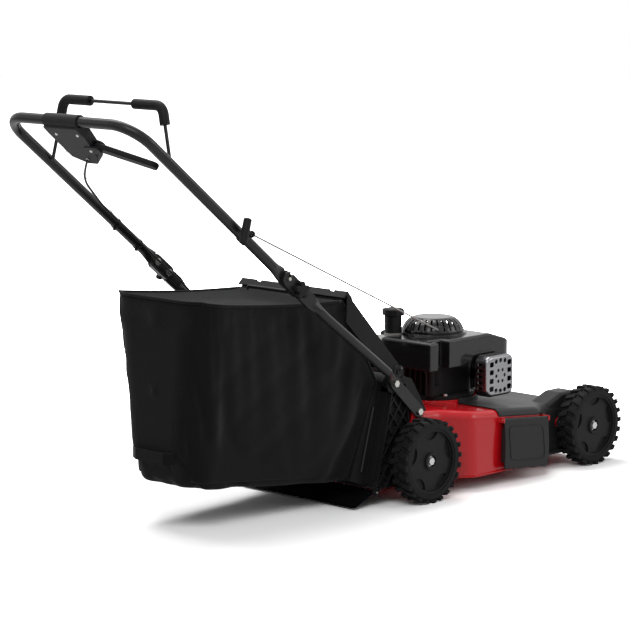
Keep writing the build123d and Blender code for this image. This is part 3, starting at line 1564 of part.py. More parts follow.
with BuildPart() as control_bracket:
    with BuildSketch(controls.offset(-bracket_below)):
        with BuildLine():
            Polyline(
                (bracket_left, 0), (bracket_right, 0), (bracket_right, -34), (-20, -108),
                (2, -bracket_reach), (34, -bracket_reach), (68, -112), (66, -20), close=True,
            )
        make_face()
    extrude(amount=bracket_below + bracket_above)
    add(cross_rod(crossbar_x, handle_height, tube_radius + clamp_wall, bracket_right, bracket_left))
    clevis_half = drive_lever_thickness / 2 + free_gap
    for low in (-clevis_half - 4, clevis_half):
        with BuildSketch(controls.offset(lever_offset + low)):
            with Locations((lever_hub_y, -lever_hub_down), (lever_hub_y + 26, -lever_hub_down)):
                Circle(lever_hub_radius + 1)
            make_hull()
        extrude(amount=4)
    with BuildSketch(controls.offset(lever_offset - clevis_half)):
        with Locations((lever_hub_y, -lever_hub_down)):
            Circle(lever_hub_radius + 4)
    extrude(amount=2 * clevis_half, mode=Mode.SUBTRACT)
    with BuildSketch(controls.offset(lever_offset - clevis_half - 2)):
        with Locations((lever_hub_y, -lever_hub_down)):
            Circle(lever_pin_radius)
    extrude(amount=2 * clevis_half + 4)
    bar_hole = cross_rod(crossbar_x, handle_height, tube_radius + same_body_gap, -80, 80)
    add(bar_hole, mode=Mode.SUBTRACT)
finish(control_bracket, "control_bracket")

with BuildPart() as drive_lever:
    drop = radians(180 + drive_lever_drop)
    tip = (lever_hub_y + drive_lever_length * cos(drop), -lever_hub_down + drive_lever_length * sin(drop))
    with BuildSketch(controls.offset(lever_offset - drive_lever_thickness / 2)):
        with Locations((lever_hub_y, -lever_hub_down)):
            Circle(lever_hub_radius)
        with Locations(tip):
            Circle(10)
        make_hull()
    extrude(amount=drive_lever_thickness)
    fillet(drive_lever.faces().sort_by(Axis.Z)[-1].edges(), 3)
    with BuildSketch(controls.offset(lever_offset - drive_lever_thickness)):
        with Locations((lever_hub_y, -lever_hub_down)):
            Circle(lever_pin_radius + running_gap)
    extrude(amount=2 * drive_lever_thickness, mode=Mode.SUBTRACT)
finish(drive_lever, "drive_lever")

bail_elbow_y = 162.0
bail_lean = 7.0
bail_height = 985.0
bail_elbow_radius = 24.0
grip_radius = 11.5
grip_inner_y = 73.0
grip_leg = 42.0
bail_x = bail_pivot_x + bail_lean
bail_foot_y = leg_y - tube_radius - 6

with BuildPart() as bail:
    bail_points = [
        (bail_pivot_x, -bail_pin_y, bail_pivot_z),
        (bail_pivot_x, -bail_foot_y, bail_pivot_z),
        (bail_x, -bail_elbow_y, bail_height),
        (bail_x, bail_elbow_y, bail_height),
        (bail_pivot_x, bail_foot_y, bail_pivot_z),
        (bail_pivot_x, bail_pin_y, bail_pivot_z),
    ]
    add(bent_bar(bail_points, [4.5, bail_elbow_radius, bail_elbow_radius, 4.5], bail_wire_radius))
finish(bail, "bail")

with BuildPart() as bail_grips:
    for side in (1, -1):
        elbow = Vector(bail_x, side * bail_elbow_y, bail_height)
        foot = Vector(bail_pivot_x, side * bail_foot_y, bail_pivot_z)
        down = elbow + (foot - elbow).normalized() * grip_leg
        grip_points = [
            (bail_x, side * grip_inner_y, bail_height),
            tuple(elbow),
            tuple(down),
        ]
        add(bent_bar(grip_points, bail_elbow_radius, grip_radius, bail_wire_radius + same_body_gap))
finish(bail_grips, "bail_grips")

# ------------------------------------------------------------------ starter rope, guide and grip
rope_seam = 9.0                 # in front of the eye
grip_reach = 27.0
grip_half = 29.0
grip_bar_radius = 9.5
grip_middle = eye + rope_way * grip_reach
grip_up = (Vector(0, 0, 1) - rope_way * rope_way.Z).normalized()

with BuildPart() as rope_guide:
    with BuildSketch(Plane(origin=on_leg(eye_along - 14, -leg_y), z_dir=up_leg)):
        Circle(tube_radius + 3)
        Circle(tube_radius + same_body_gap, mode=Mode.SUBTRACT)
    extrude(amount=18)
    add(bar(on_leg(eye_along - 5, -leg_y - 14, 2), eye - Vector(0, -7, 0), 3.5))
    with BuildSketch(Plane(origin=eye - rope_way * 2.5, z_dir=rope_way)):
        Circle(8)
    extrude(amount=5)
    with BuildSketch(Plane(origin=eye - rope_way * 20, z_dir=rope_way)):
        Circle(3)
    extrude(amount=40, mode=Mode.SUBTRACT)
    leg_low, leg_high = on_leg(eye_along - 60, -leg_y), on_leg(eye_along + 60, -leg_y)
    leg_space = bar(leg_low, leg_high, tube_radius + same_body_gap)
    add(leg_space, mode=Mode.SUBTRACT)
finish(rope_guide, "rope_guide")

with BuildPart() as starter_grip:
    add(bar(grip_middle - grip_up * grip_half, grip_middle + grip_up * grip_half, grip_bar_radius))
    fillet(starter_grip.edges(), 4)
    with BuildSketch(Plane(origin=eye + rope_way * 6, z_dir=rope_way)):
        Circle(5)
    with BuildSketch(Plane(origin=grip_middle, z_dir=rope_way)):
        Circle(8)
    loft()
    with BuildSketch(Plane(origin=eye, z_dir=rope_way)):
        Circle(rope_radius + same_body_gap)
    extrude(amount=grip_reach, mode=Mode.SUBTRACT)
finish(starter_grip, "starter_grip")

with BuildPart() as starter_rope:
    add(bar(rope_start - rope_way * 5, eye - rope_way * (rope_seam + free_gap), rope_radius))
finish(starter_rope, "starter_rope")
with BuildPart() as rope_tail:
    add(bar(eye - rope_way * rope_seam, grip_middle - rope_way * 0.1, rope_radius))
finish(rope_tail, "rope_tail")

# ------------------------------------------------------------------ drive to the front wheels
gearbox_x = pivots["front_left"][0]
axle_tube_radius = 9.5
axle_tube_end = 172.0
belt_offset = 26.0
belt_inner_radius = drive_pulley_radius - 8 + free_gap
belt_outer_radius = drive_pulley_radius - 2
belt_width = 7.6

with BuildPart() as gearbox:
    with Locations((gearbox_x, 0, pivot_z)):
        Box(90, 64, 54)
    fillet(gearbox.edges().filter_by(Axis.Y), 12)
    add(cross_rod(gearbox_x, pivot_z, axle_tube_radius, -axle_tube_end, axle_tube_end))
    with Locations((gearbox_x - belt_offset, 0, 0)):
        with Locations((0, 0, pulley_z - 6)):
            Cylinder(10, 14)
        for z in (pulley_z - 5.2, pulley_z + 5.2):
            with Locations((0, 0, z)):
                Cylinder(drive_pulley_radius, 1.6)
        with Locations((0, 0, pulley_z)):
            Cylinder(drive_pulley_radius - 8, 10)
    for side in (1, -1):
        foot_y = side * axle_tube_end
        with Locations((gearbox_x, foot_y - side * 8, (pivot_z + deck_top_at(555)) / 2)):
            Box(26, 4, deck_top_at(555) - deck_wall - pivot_z - 6)
finish(gearbox, "gearbox")

with BuildPart() as drive_belt:
    for radius, mode in ((belt_outer_radius, Mode.ADD), (belt_inner_radius, Mode.SUBTRACT)):
        with BuildSketch(Plane.XY.offset(pulley_z - belt_width / 2)):
            with Locations((engine_x, 0), (gearbox_x - belt_offset, 0)):
                Circle(radius)
            make_hull()
        extrude(amount=belt_width, mode=mode)
finish(drive_belt, "drive_belt")

# ------------------------------------------------------------------ control cable
cable_radius = 2.6
cable_y = leg_y - tube_radius - cable_radius - 0.6
cable_start = (ahead(-831), 18, 860)
cable_bends = [(-807, 56, 833), (-762, 106, 801), (-692, 160, 768)]
cable_lands = 262.0             # up the leg
cable_seam = 3.0                # beside the fold bolt
cable_low_y = lower_y - lower_tube_radius - cable_radius - 0.6
cable_lower_bends = [
    (-150, cable_low_y, 354), (-75, 190, 331), (10, 190, 306),
    (120, 122, 262), (205, 92, 250), (262, 84, 250),
]
tie_places = (118.0, 204.0)
tie_thickness = 1.4
tie_width = 4.5
wire_radius = 0.8
wire_along = 214.0
wire_top = (-770, 201, 902)


def swept_cord(points, radii, radius):
    """A cord of straight runs joined by tangent arcs."""
    with BuildPart() as cord:
        with BuildLine() as route:
            FilletPolyline(*points, radius=radii)
        with BuildSketch(Plane(origin=points[0], z_dir=Vector(*points[1]) - Vector(*points[0]))):
            Circle(radius)
        sweep(path=route.line)
    return cord.part


def bend_radii(points):
    """Radii that nearly meet along the shorter neighbouring run at each turn."""
    places = [Vector(*point) for point in points]
    radii = []
    for before, here, after in zip(places, places[1:], places[2:]):
        inward, outward = here - before, after - here
        half_turn = radians(inward.get_angle(outward)) / 2
        radii.append(0.45 * min(inward.length, outward.length) / tan(max(half_turn, 0.01)))
    return radii


cable_points = [cable_start] + [(ahead(x), y, z) for x, y, z in cable_bends]
cable_points += [tuple(on_leg(cable_lands, cable_y)), tuple(on_leg(cable_seam, cable_y))]
cable_lower_points = [tuple(on_leg(cable_seam - 1, cable_y)), tuple(on_leg(-60, cable_y))]
cable_lower_points += [tuple(on_leg(lower_kink_along - 8, cable_low_y))]
cable_lower_points += [(ahead(x), y, z) for x, y, z in cable_lower_bends]
for points, label in ((cable_points, "cable_upper"), (cable_lower_points, "cable_lower")):
    with BuildPart() as cable:
        add(swept_cord(points, bend_radii(points), cable_radius))
        if label == "cable_upper":
            wire_end = on_leg(wire_along, cable_y - cable_radius - wire_radius - 0.2)
            add(bar(wire_end, (ahead(wire_top[0]), wire_top[1], wire_top[2]), wire_radius))
    finish(cable, label)

with BuildPart() as cable_ties:
    for along in tie_places:
        across = Plane(origin=on_leg(along, leg_y), x_dir=(0, 1, 0), z_dir=up_leg)
        with BuildSketch(across):
            with Locations((0, 0)):
                Circle(tube_radius + tie_thickness)
            with Locations((cable_y - leg_y, 0)):
                Circle(cable_radius + tie_thickness)
            make_hull()
        extrude(amount=tie_width)
        with BuildSketch(across):
            with Locations((-5, tube_radius + 3.5)):
                Rectangle(6, 5)
        extrude(amount=tie_width)
        with BuildSketch(across):
            with Locations((0, 0)):
                Circle(tube_radius + same_body_gap)
            with Locations((cable_y - leg_y, 0)):
                Circle(cable_radius + same_body_gap)
            make_hull()
        extrude(amount=tie_width, mode=Mode.SUBTRACT)
finish(cable_ties, "cable_ties")
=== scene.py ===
import json
from math import cos, pi, radians, sin, tan

import bmesh
import bpy
from mathutils import Matrix, Vector
from mathutils import noise as field


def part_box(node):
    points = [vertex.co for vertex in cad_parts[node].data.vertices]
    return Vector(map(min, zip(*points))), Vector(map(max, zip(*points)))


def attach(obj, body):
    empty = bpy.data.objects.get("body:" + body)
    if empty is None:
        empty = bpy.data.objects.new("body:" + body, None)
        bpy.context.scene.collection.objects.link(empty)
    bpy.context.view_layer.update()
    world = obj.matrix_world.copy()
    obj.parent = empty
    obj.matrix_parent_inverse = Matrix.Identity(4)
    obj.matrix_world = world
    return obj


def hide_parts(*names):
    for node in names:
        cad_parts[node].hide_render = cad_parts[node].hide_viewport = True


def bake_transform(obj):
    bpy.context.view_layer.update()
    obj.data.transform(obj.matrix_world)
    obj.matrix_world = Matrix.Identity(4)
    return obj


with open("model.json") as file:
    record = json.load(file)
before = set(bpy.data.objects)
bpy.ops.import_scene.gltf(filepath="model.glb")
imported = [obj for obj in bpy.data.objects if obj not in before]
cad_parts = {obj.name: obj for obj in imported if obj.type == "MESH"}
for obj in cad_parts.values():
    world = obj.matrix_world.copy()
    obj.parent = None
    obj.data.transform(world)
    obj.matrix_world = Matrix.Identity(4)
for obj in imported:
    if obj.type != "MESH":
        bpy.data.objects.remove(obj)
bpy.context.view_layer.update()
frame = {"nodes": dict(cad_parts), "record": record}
nodes = frame["nodes"]


# ------------------------------------------------------------------ materials
def material(name, base, rough, metal=0.0, coat=0.0, grain=900.0, bump=0.03, mottle=0.12,
             dust=0.0, weave=0.0, rounding=0.0, shine=0.5, sheen=0.0):
    """A procedural surface: base colour and roughness broken up by noise, with a fine bump or a weave.

    rounding is the radius in metres that its edges look rounded by.
    """
    found = bpy.data.materials.new(name)
    found.use_nodes = True
    tree = found.node_tree
    shader = tree.nodes["Principled BSDF"]
    shader.inputs["Metallic"].default_value = metal
    shader.inputs["Coat Weight"].default_value = coat
    shader.inputs["Coat Roughness"].default_value = 0.08
    shader.inputs["Specular IOR Level"].default_value = shine
    shader.inputs["Sheen Weight"].default_value = sheen
    shader.inputs["Sheen Roughness"].default_value = 0.45
    place = tree.nodes.new("ShaderNodeTexCoord")

    broad = tree.nodes.new("ShaderNodeTexNoise")
    broad.inputs["Scale"].default_value = 9.0
    broad.inputs["Detail"].default_value = 6.0
    tree.links.new(place.outputs["Object"], broad.inputs["Vector"])
    tint = tree.nodes.new("ShaderNodeMix")
    tint.data_type = "RGBA"
    low = [channel * (1 - mottle) for channel in base]
    high = [min(1.0, channel * (1 + mottle) + dust) for channel in base]
    tint.inputs[6].default_value = (*low, 1)
    tint.inputs[7].default_value = (*high, 1)
    tree.links.new(broad.outputs["Fac"], tint.inputs[0])
    tree.links.new(tint.outputs[2], shader.inputs["Base Color"])

    rough_range = tree.nodes.new("ShaderNodeMapRange")
    rough_range.inputs["To Min"].default_value = max(0.02, rough - 0.07)
    rough_range.inputs["To Max"].default_value = min(1.0, rough + 0.07)
    tree.links.new(broad.outputs["Fac"], rough_range.inputs["Value"])
    tree.links.new(rough_range.outputs["Result"], shader.inputs["Roughness"])

    fine = tree.nodes.new("ShaderNodeTexNoise")
    fine.inputs["Scale"].default_value = grain
    fine.inputs["Detail"].default_value = 3.0
    tree.links.new(place.outputs["Object"], fine.inputs["Vector"])
    height = fine.outputs["Fac"]
    if weave:
        across = tree.nodes.new("ShaderNodeTexWave")
        across.bands_direction = "X"
        along = tree.nodes.new("ShaderNodeTexWave")
        along.bands_direction = "Z"
        for wave in (across, along):
            wave.inputs["Scale"].default_value = weave
            wave.inputs["Distortion"].default_value = 0.4
            tree.links.new(place.outputs["Object"], wave.inputs["Vector"])
        cloth = tree.nodes.new("ShaderNodeMath")
        cloth.operation = "MAXIMUM"
        tree.links.new(across.outputs["Fac"], cloth.inputs[0])
        tree.links.new(along.outputs["Fac"], cloth.inputs[1])
        height = cloth.outputs["Value"]
    relief = tree.nodes.new("ShaderNodeBump")
    relief.inputs["Strength"].default_value = bump
    relief.inputs["Distance"].default_value = 0.001
    tree.links.new(height, relief.inputs["Height"])
    if rounding:
        soft_edge = tree.nodes.new("ShaderNodeBevel")
        soft_edge.samples = 6
        soft_edge.inputs["Radius"].default_value = rounding
        tree.links.new(soft_edge.outputs["Normal"], relief.inputs["Normal"])
    tree.links.new(relief.outputs["Normal"], shader.inputs["Normal"])
    return found


def distance_along(tree, axis):
    """A point's distance along one of the object's axes."""
    place = tree.nodes.new("ShaderNodeTexCoord")
    split = tree.nodes.new("ShaderNodeSeparateXYZ")
    tree.links.new(place.outputs["Object"], split.inputs["Vector"])
    return split.outputs[axis]


def recolour(look, colour, distance, edge, blur):
    """Give a look another colour where a distance is past an edge; returns the share of it."""
    tree = look.node_tree
    base = tree.nodes["Principled BSDF"].inputs["Base Color"]
    first = base.links[0].from_socket
    step = tree.nodes.new("ShaderNodeMapRange")
    step.inputs["From Min"].default_value = edge - blur
    step.inputs["From Max"].default_value = edge + blur
    tree.links.new(distance, step.inputs["Value"])
    pick = tree.nodes.new("ShaderNodeMix")
    pick.data_type = "RGBA"
    tree.links.new(step.outputs["Result"], pick.inputs[0])
    tree.links.new(first, pick.inputs[6])
    pick.inputs[7].default_value = (*colour, 1)
    tree.links.new(pick.outputs[2], base)
    return step.outputs["Result"]


def two_tone(look, colour, height):
    """Change a look's colour above a height."""
    recolour(look, colour, distance_along(look.node_tree, "Z"), height, 0.001)
    return look


def bright_end(look, colour, reach):
    """Turn a look into bare metal farther than a reach from the machine's middle plane."""
    tree = look.node_tree
    away = tree.nodes.new("ShaderNodeMath")
    away.operation = "ABSOLUTE"
    tree.links.new(distance_along(tree, "Y"), away.inputs[0])
    share = recolour(look, colour, away.outputs[0], reach, 0.0005)
    tree.links.new(share, tree.nodes["Principled BSDF"].inputs["Metallic"])
    return look


tank_shoulder = 0.357       # the fuel tank is pale below this height
wheel_nut_inner = 0.2475    # wheel nuts and washers lie farther out than this

looks = {
    "red_paint": material("red_paint", (0.66, 0.007, 0.013), 0.2, coat=0.18, grain=260, bump=0.02, mottle=0.06,
                          rounding=0.004, shine=0.25),
    "black_paint": material("black_paint", (0.014, 0.014, 0.015), 0.3, coat=0.12, grain=420, bump=0.04, mottle=0.2,
                            rounding=0.0012, shine=0.2),
    "black_plastic": material("black_plastic", (0.015, 0.015, 0.016), 0.46, grain=1500, bump=0.14, mottle=0.2,
                              rounding=0.0018, shine=0.1),
    "gloss_black": material("gloss_black", (0.009, 0.009, 0.01), 0.16, coat=0.3, grain=500, bump=0.025, mottle=0.2,
                            rounding=0.006, shine=0.22),
    "grey_plastic": material("grey_plastic", (0.032, 0.032, 0.034), 0.55, grain=1300, bump=0.2, mottle=0.15,
                             rounding=0.0025, shine=0.1),
    "pale_plastic": two_tone(material("pale_plastic", (0.4, 0.39, 0.37), 0.4, grain=600, bump=0.05, mottle=0.06,
                                      rounding=0.003, shine=0.15), (0.012, 0.012, 0.013), tank_shoulder),
    "tyre_rubber": material("tyre_rubber", (0.015, 0.015, 0.016), 0.62, grain=700, bump=0.22, mottle=0.3, dust=0.004,
                            rounding=0.0012, shine=0.08),
    "soft_rubber": material("soft_rubber", (0.014, 0.014, 0.015), 0.5, grain=1000, bump=0.15, mottle=0.2,
                            rounding=0.002, shine=0.12),
    "bag_cloth": material("bag_cloth", (0.0105, 0.0105, 0.0115), 0.85, weave=330, bump=0.35, mottle=0.22, shine=0.04,
                          sheen=0.2),
    "rope_cord": material("rope_cord", (0.5, 0.49, 0.47), 0.7, weave=500, bump=0.5, mottle=0.1),
    "zinc_steel": material("zinc_steel", (0.5, 0.49, 0.46), 0.3, metal=1.0, grain=500, bump=0.05, mottle=0.12,
                           rounding=0.0006),
    "bright_steel": material("bright_steel", (0.27, 0.27, 0.28), 0.24, metal=1.0, grain=260, bump=0.05, mottle=0.14,
                             rounding=0.0025),
    "cast_aluminium": material("cast_aluminium", (0.3, 0.3, 0.29), 0.45, metal=1.0, grain=700, bump=0.3),
    "black_casting": material("black_casting", (0.014, 0.014, 0.015), 0.5, grain=600, bump=0.35, mottle=0.25,
                              rounding=0.0015, shine=0.1),
    "dark_steel": material("dark_steel", (0.08, 0.08, 0.08), 0.42, metal=1.0, grain=500, bump=0.1),
}
flap_rubber = material("flap_rubber", (0.004, 0.004, 0.0045), 0.7, grain=900, bump=0.12, mottle=0.25, shine=0.02)
dull_steel = bright_end(material("dull_steel", (0.02, 0.02, 0.021), 0.45, grain=500, bump=0.08,
                                 rounding=0.001, shine=0.15), (0.5, 0.5, 0.5), wheel_nut_inner)
door_plastic = material("door_plastic", (0.024, 0.024, 0.024), 0.42, grain=1500, bump=0.1, mottle=0.14,
                        rounding=0.004, shine=0.14)
own_look = {"bag_rods": looks["black_paint"], "rear_flap": flap_rubber, "side_discharge_door": door_plastic,
            "front_cover": door_plastic}
own_look.update({name: dull_steel for name in nodes if name.startswith("height_adjuster")})

by_slot = {entry["node"]: entry["material_slot"] for entry in frame["record"]["subparts"]}


def dress(obj, look):
    obj.data.materials.clear()
    obj.data.materials.append(look)


def soften(obj, width):
    """Round a CAD node's sharp edges and smooth its curved faces."""
    for polygon in obj.data.polygons:
        polygon.use_smooth = True
    bevel = obj.modifiers.new("edge", "BEVEL")
    bevel.width = width
    bevel.segments = 2
    bevel.limit_method = "ANGLE"
    bevel.angle_limit = radians(38.0)
    bevel.harden_normals = True


usual_edge = 0.0008
edge_width = {"deck_shell": 0.0006, "upper_handle": 0.0002}
for name, node in nodes.items():
    dress(node, own_look.get(name, looks[by_slot[name]]))
    soften(node, edge_width.get(name, usual_edge))


# ------------------------------------------------------------------ the bag's cloth
rear_axle = 0.09495
bag_rear, bag_rear_top, bag_rear_bottom = -0.658, 0.540, 0.112
bag_middle = 0.326
rear_half_top, rear_half_bottom = 0.162, 0.122
front_half_top, front_half_bottom = 0.165, 0.152
shoulder, mouth_top, mouth_bottom = (-0.214, 0.503), (-0.091, 0.305), (-0.180, 0.066)
flat_top = 0.49             # cloth above this height is the bag's top
bag_steps = 46
sim_frames = 22
cloth_out, cloth_in, cloth_slide = 0.0045, 0.016, 0.008


def mix(a, b, share):
    return a + (b - a) * share


def clamp(value):
    return min(1.0, max(0.0, value))


def bag_ring(distance, per_bottom=22, per_side=36, per_top=24, round_off=0.017):
    """A loop of the bag's cross-section, counted from the middle of its bottom, and its top corners."""
    share_top = (distance - bag_rear) / (shoulder[0] - bag_rear)
    share_bottom = (distance - bag_rear) / (mouth_bottom[0] - bag_rear)
    half_top = mix(rear_half_top, front_half_top, share_top)
    half_low = mix(rear_half_bottom, front_half_bottom, share_bottom)
    low = mix(bag_rear_bottom, mouth_bottom[1], share_bottom)
    top = mix(bag_rear_top, shoulder[1], share_top) - 0.006 * sin(pi * clamp(share_top))
    corners = [Vector(corner) for corner in ((-half_low, low), (half_low, low), (half_top, top), (-half_top, top))]
    counts = [per_bottom, per_side, per_top, per_side]
    rounds = [round_off, round_off, 0.006, 0.006]
    loop, marks = [], []
    for index in range(4):
        start, end = corners[index], corners[(index + 1) % 4]
        way = (end - start).normalized()
        before = (start - corners[index - 1]).normalized()
        reach = rounds[index]
        for step in range(4):
            turn = (step + 0.5) / 4
            a, b = start - before * reach, start + way * reach
            loop.append(a * (1 - turn) ** 2 + start * 2 * turn * (1 - turn) + b * turn ** 2)
        if index >= 2:
            marks.append(len(loop) - 2)
        a, b = start + way * reach, end - way * rounds[(index + 1) % 4]
        for step in range(counts[index]):
            loop.append(a.lerp(b, step / (counts[index] - 1)))
    return loop, marks


def bag_front(height):
    """Where the bag's front lies, ahead of the rear axle, at a height."""
    if height > mouth_top[1]:
        return mix(mouth_top[0], shoulder[0], clamp((height - mouth_top[1]) / (shoulder[1] - mouth_top[1])))
    return mix(mouth_bottom[0], mouth_top[0], clamp((height - mouth_bottom[1]) / (mouth_top[1] - mouth_bottom[1])))


def bag_folds(x, y, z):
    """How far the cloth stands in from its frame: long slanting folds with finer creases."""
    slant = x * 0.62 - z * 0.78
    bend = field.noise(Vector((x * 3.0, y * 3.0, z * 3.0))) * 0.05
    wave = sin((slant + bend) * 2 * pi / 0.118)
    strength = 0.55 + 0.45 * field.noise(Vector((x * 4.0 + 7.0, y * 4.0, z * 3.0)))
    fine = field.noise(Vector((slant * 55, y * 4, (x + z) * 5)))
    return (0.0075 * max(0.0, wave) ** 1.5 + 0.0018 * fine) * strength


def round_corner(place, radius=0.075):
    """Bring a point at the bag's rear corners in to their rounded plan."""
    share = clamp((place.z - bag_rear_bottom) / (bag_rear_top - bag_rear_bottom))
    half = mix(rear_half_bottom, rear_half_top, share)
    back = radius - (place.x - rear_axle - bag_rear)
    out = abs(place.y) - (half - radius)
    if back <= 0 or out <= 0:
        return place
    shrink = max(back, out) / (back * back + out * out) ** 0.5
    side = 1 if place.y > 0 else -1
    return Vector((rear_axle + bag_rear + radius - back * shrink, side * (half - radius + out * shrink), place.z))


def bag_mesh(steps=bag_steps, rings=9):
    """The bag's sides and rear as points and faces, how firmly each point is held, and its top edges."""
    rear_face = rear_axle + bag_rear + 0.0005
    verts, faces, pins, edge_lines = [], [], {}, [[], []]
    for step in range(steps + 1):
        share = step / steps
        rough_loop, marks = bag_ring(mix(bag_rear, shoulder[0], share))
        for index, point in enumerate(rough_loop):
            distance = mix(bag_rear, bag_front(point.y), share)
            exact, _ = bag_ring(distance)
            place = exact[index]
            if step == 0:
                place = place * 0.988 + Vector((0, bag_middle)) * 0.012
            verts.append(Vector((rear_axle + distance + (0.004 if step == 0 else 0), place.x, place.y)))
        for line, mark in zip(edge_lines, marks):
            line.append(len(verts) - len(rough_loop) + mark)
    size = len(rough_loop)
    for step in range(steps):
        for index in range(size):
            a, b = step * size + index, step * size + (index + 1) % size
            faces.append((a, b, b + size, a + size))
    middle = Vector((0.0, bag_middle))
    previous = list(range(size))
    for ring in range(1, rings + 1):
        scale = 1 - ring / (rings + 0.6)
        current = []
        for index in range(size):
            rim = verts[index]
            current.append(len(verts))
            flat = Vector((rim.y, rim.z)) * scale + middle * (1 - scale)
            verts.append(Vector((rear_face, flat.x, flat.y)))
            pins[current[-1]] = 0.0 if ring < 3 else 0.9
        for index in range(size):
            nxt = (index + 1) % size
            faces.append((previous[index], current[index], current[nxt], previous[nxt]))
        previous = current
    pins[len(verts)] = 0.9
    verts.append(Vector((rear_face, 0, bag_middle)))
    for index in range(size):
        faces.append((previous[index], len(verts) - 1, previous[(index + 1) % size]))
    last = steps * size
    for index in range(size):
        pins[last + index] = 1.0
        pins[last - size + index] = 0.8
    for line in edge_lines:
        for vertex in line:
            pins[vertex] = 1.0
    top_from, top_to = edge_lines[0][0], edge_lines[1][0]
    for vertex in range(min(top_from, top_to), max(top_from, top_to) + 1):
        pins[vertex] = 1.0
    verts = [round_corner(place) for place in verts]
    return verts, faces, pins, edge_lines, (top_from, top_to)


def make_bag():
    """The bag's cloth, settled by a Cloth simulation and kept within reach of its frame, and its top edges."""
    verts, faces, pins, lines, rear_line = bag_mesh()
    mesh = bpy.data.meshes.new("bag_cloth")
    mesh.from_pydata(verts, [], faces)
    work = bmesh.new()
    work.from_mesh(mesh)
    bmesh.ops.recalc_face_normals(work, faces=work.faces)
    work.to_mesh(mesh)
    work.free()
    cloth = bpy.data.objects.new("bag_cloth", mesh)
    bpy.context.scene.collection.objects.link(cloth)
    at_first = [vertex.co.copy() for vertex in mesh.vertices]
    out = [vertex.normal.copy() for vertex in mesh.vertices]
    for vertex in mesh.vertices:
        held = pins.get(vertex.index, 0.0)
        x, y, z = vertex.co
        vertex.co -= vertex.normal * bag_folds(x, y, z) * (1 - held) * (0.3 if z > flat_top else 0.6)
    group = cloth.vertex_groups.new(name="held")
    for index in range(len(mesh.vertices)):
        group.add([index], pins.get(index, 0.0), "REPLACE")
    sim = cloth.modifiers.new("cloth", "CLOTH")
    sim.settings.quality = 5
    sim.settings.mass = 0.25
    sim.settings.tension_stiffness = 12
    sim.settings.compression_stiffness = 12
    sim.settings.shear_stiffness = 6
    sim.settings.bending_stiffness = 0.35
    sim.settings.air_damping = 3
    sim.settings.vertex_group_mass = "held"
    sim.settings.shrink_min = -0.007
    sim.point_cache.frame_start = 1
    sim.point_cache.frame_end = sim_frames
    scene = bpy.context.scene
    for moment in range(1, sim_frames + 1):
        scene.frame_set(moment)
    settled = cloth.evaluated_get(bpy.context.evaluated_depsgraph_get())
    places = [vertex.co.copy() for vertex in settled.data.vertices]
    cloth.modifiers.clear()
    scene.frame_set(1)
    for vertex, place in zip(mesh.vertices, places):
        vertex.co = place
    for vertex, start, normal in zip(mesh.vertices, at_first, out):
        shift = vertex.co - start
        depth = shift.dot(normal)
        side = shift - normal * depth
        if side.length > cloth_slide:
            side = side * (cloth_slide / side.length)
        held = pins.get(vertex.index, 0.0)
        x, y, z = start
        depth -= bag_folds(x, y, z) * (1 - held) * (0.0 if z > flat_top else 0.5)
        vertex.co = start + side + normal * min(cloth_out, max(-cloth_in, depth))
    for polygon in mesh.polygons:
        polygon.use_smooth = True
    cloth.vertex_groups.clear()
    wall = cloth.modifiers.new("wall", "SOLIDIFY")
    wall.thickness = 0.0018
    wall.offset = -1
    finer = cloth.modifiers.new("finer", "SUBSURF")
    finer.levels = 1
    finer.render_levels = 1
    dress(cloth, looks["bag_cloth"])
    edges = [[mesh.vertices[index].co.copy() for index in line] for line in lines]
    low, high = min(rear_line), max(rear_line)
    rear = [mesh.vertices[index].co.copy() for index in range(low, high + 1)]
    return cloth, edges, rear


def tube(name, path, radius, look, sides=10, closed=False, strands=0, pitch=0.011):
    """A round cord, rod or bead along a list of points, or a laid rope of so many strands."""
    verts, faces = [], []
    frame_up = None
    run = 0.0
    for index, point in enumerate(path):
        run += (point - path[index - 1]).length if index else 0.0
        ahead = path[(index + 1) % len(path)] if closed or index < len(path) - 1 else point
        behind = path[index - 1] if closed or index else point
        way = (ahead - behind).normalized()
        if frame_up is None:
            frame_up = way.orthogonal().normalized()
        frame_up = (frame_up - way * frame_up.dot(way)).normalized()
        across = way.cross(frame_up)
        for side in range(sides):
            turn = 2 * pi * side / sides
            reach = radius * (0.94 + 0.06 * cos(strands * (turn - 2 * pi * run / pitch))) if strands else radius
            verts.append(point + frame_up * cos(turn) * reach + across * sin(turn) * reach)
    count = len(path)
    for index in range(count if closed else count - 1):
        for side in range(sides):
            a, b = index * sides + side, index * sides + (side + 1) % sides
            c, d = (a + sides) % (count * sides), (b + sides) % (count * sides)
            faces.append((a, b, d, c))
    if not closed:
        faces.append(tuple(reversed(range(sides))))
        faces.append(tuple(range((count - 1) * sides, count * sides)))
    mesh = bpy.data.meshes.new(name)
    mesh.from_pydata(verts, [], faces)
    for polygon in mesh.polygons:
        polygon.use_smooth = len(polygon.vertices) == 4
    obj = bpy.data.objects.new(name, mesh)
    bpy.context.scene.collection.objects.link(obj)
    dress(obj, look)
    return obj


bag_cloth, bag_edges, bag_rear_edge = make_bag()
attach(bag_cloth, "bag")
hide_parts("bag_fabric")
first_edge, other_edge = sorted(bag_edges, key=lambda edge: (edge[0] - bag_rear_edge[0]).length)
piping_path = list(reversed(first_edge)) + bag_rear_edge[1:-1] + other_edge
bag_piping = tube("bag_piping", piping_path, 0.0034, looks["bag_cloth"])
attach(bag_piping, "bag")
ring_size = len(bag_ring(shoulder[0])[0])
mouth_edge = [vertex.co + Vector((0.0015, 0, 0))
              for vertex in bag_cloth.data.vertices[bag_steps * ring_size:(bag_steps + 1) * ring_size]]
bag_binding = tube("bag_binding", mouth_edge, 0.0038, looks["bag_cloth"], closed=True)
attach(bag_binding, "bag")


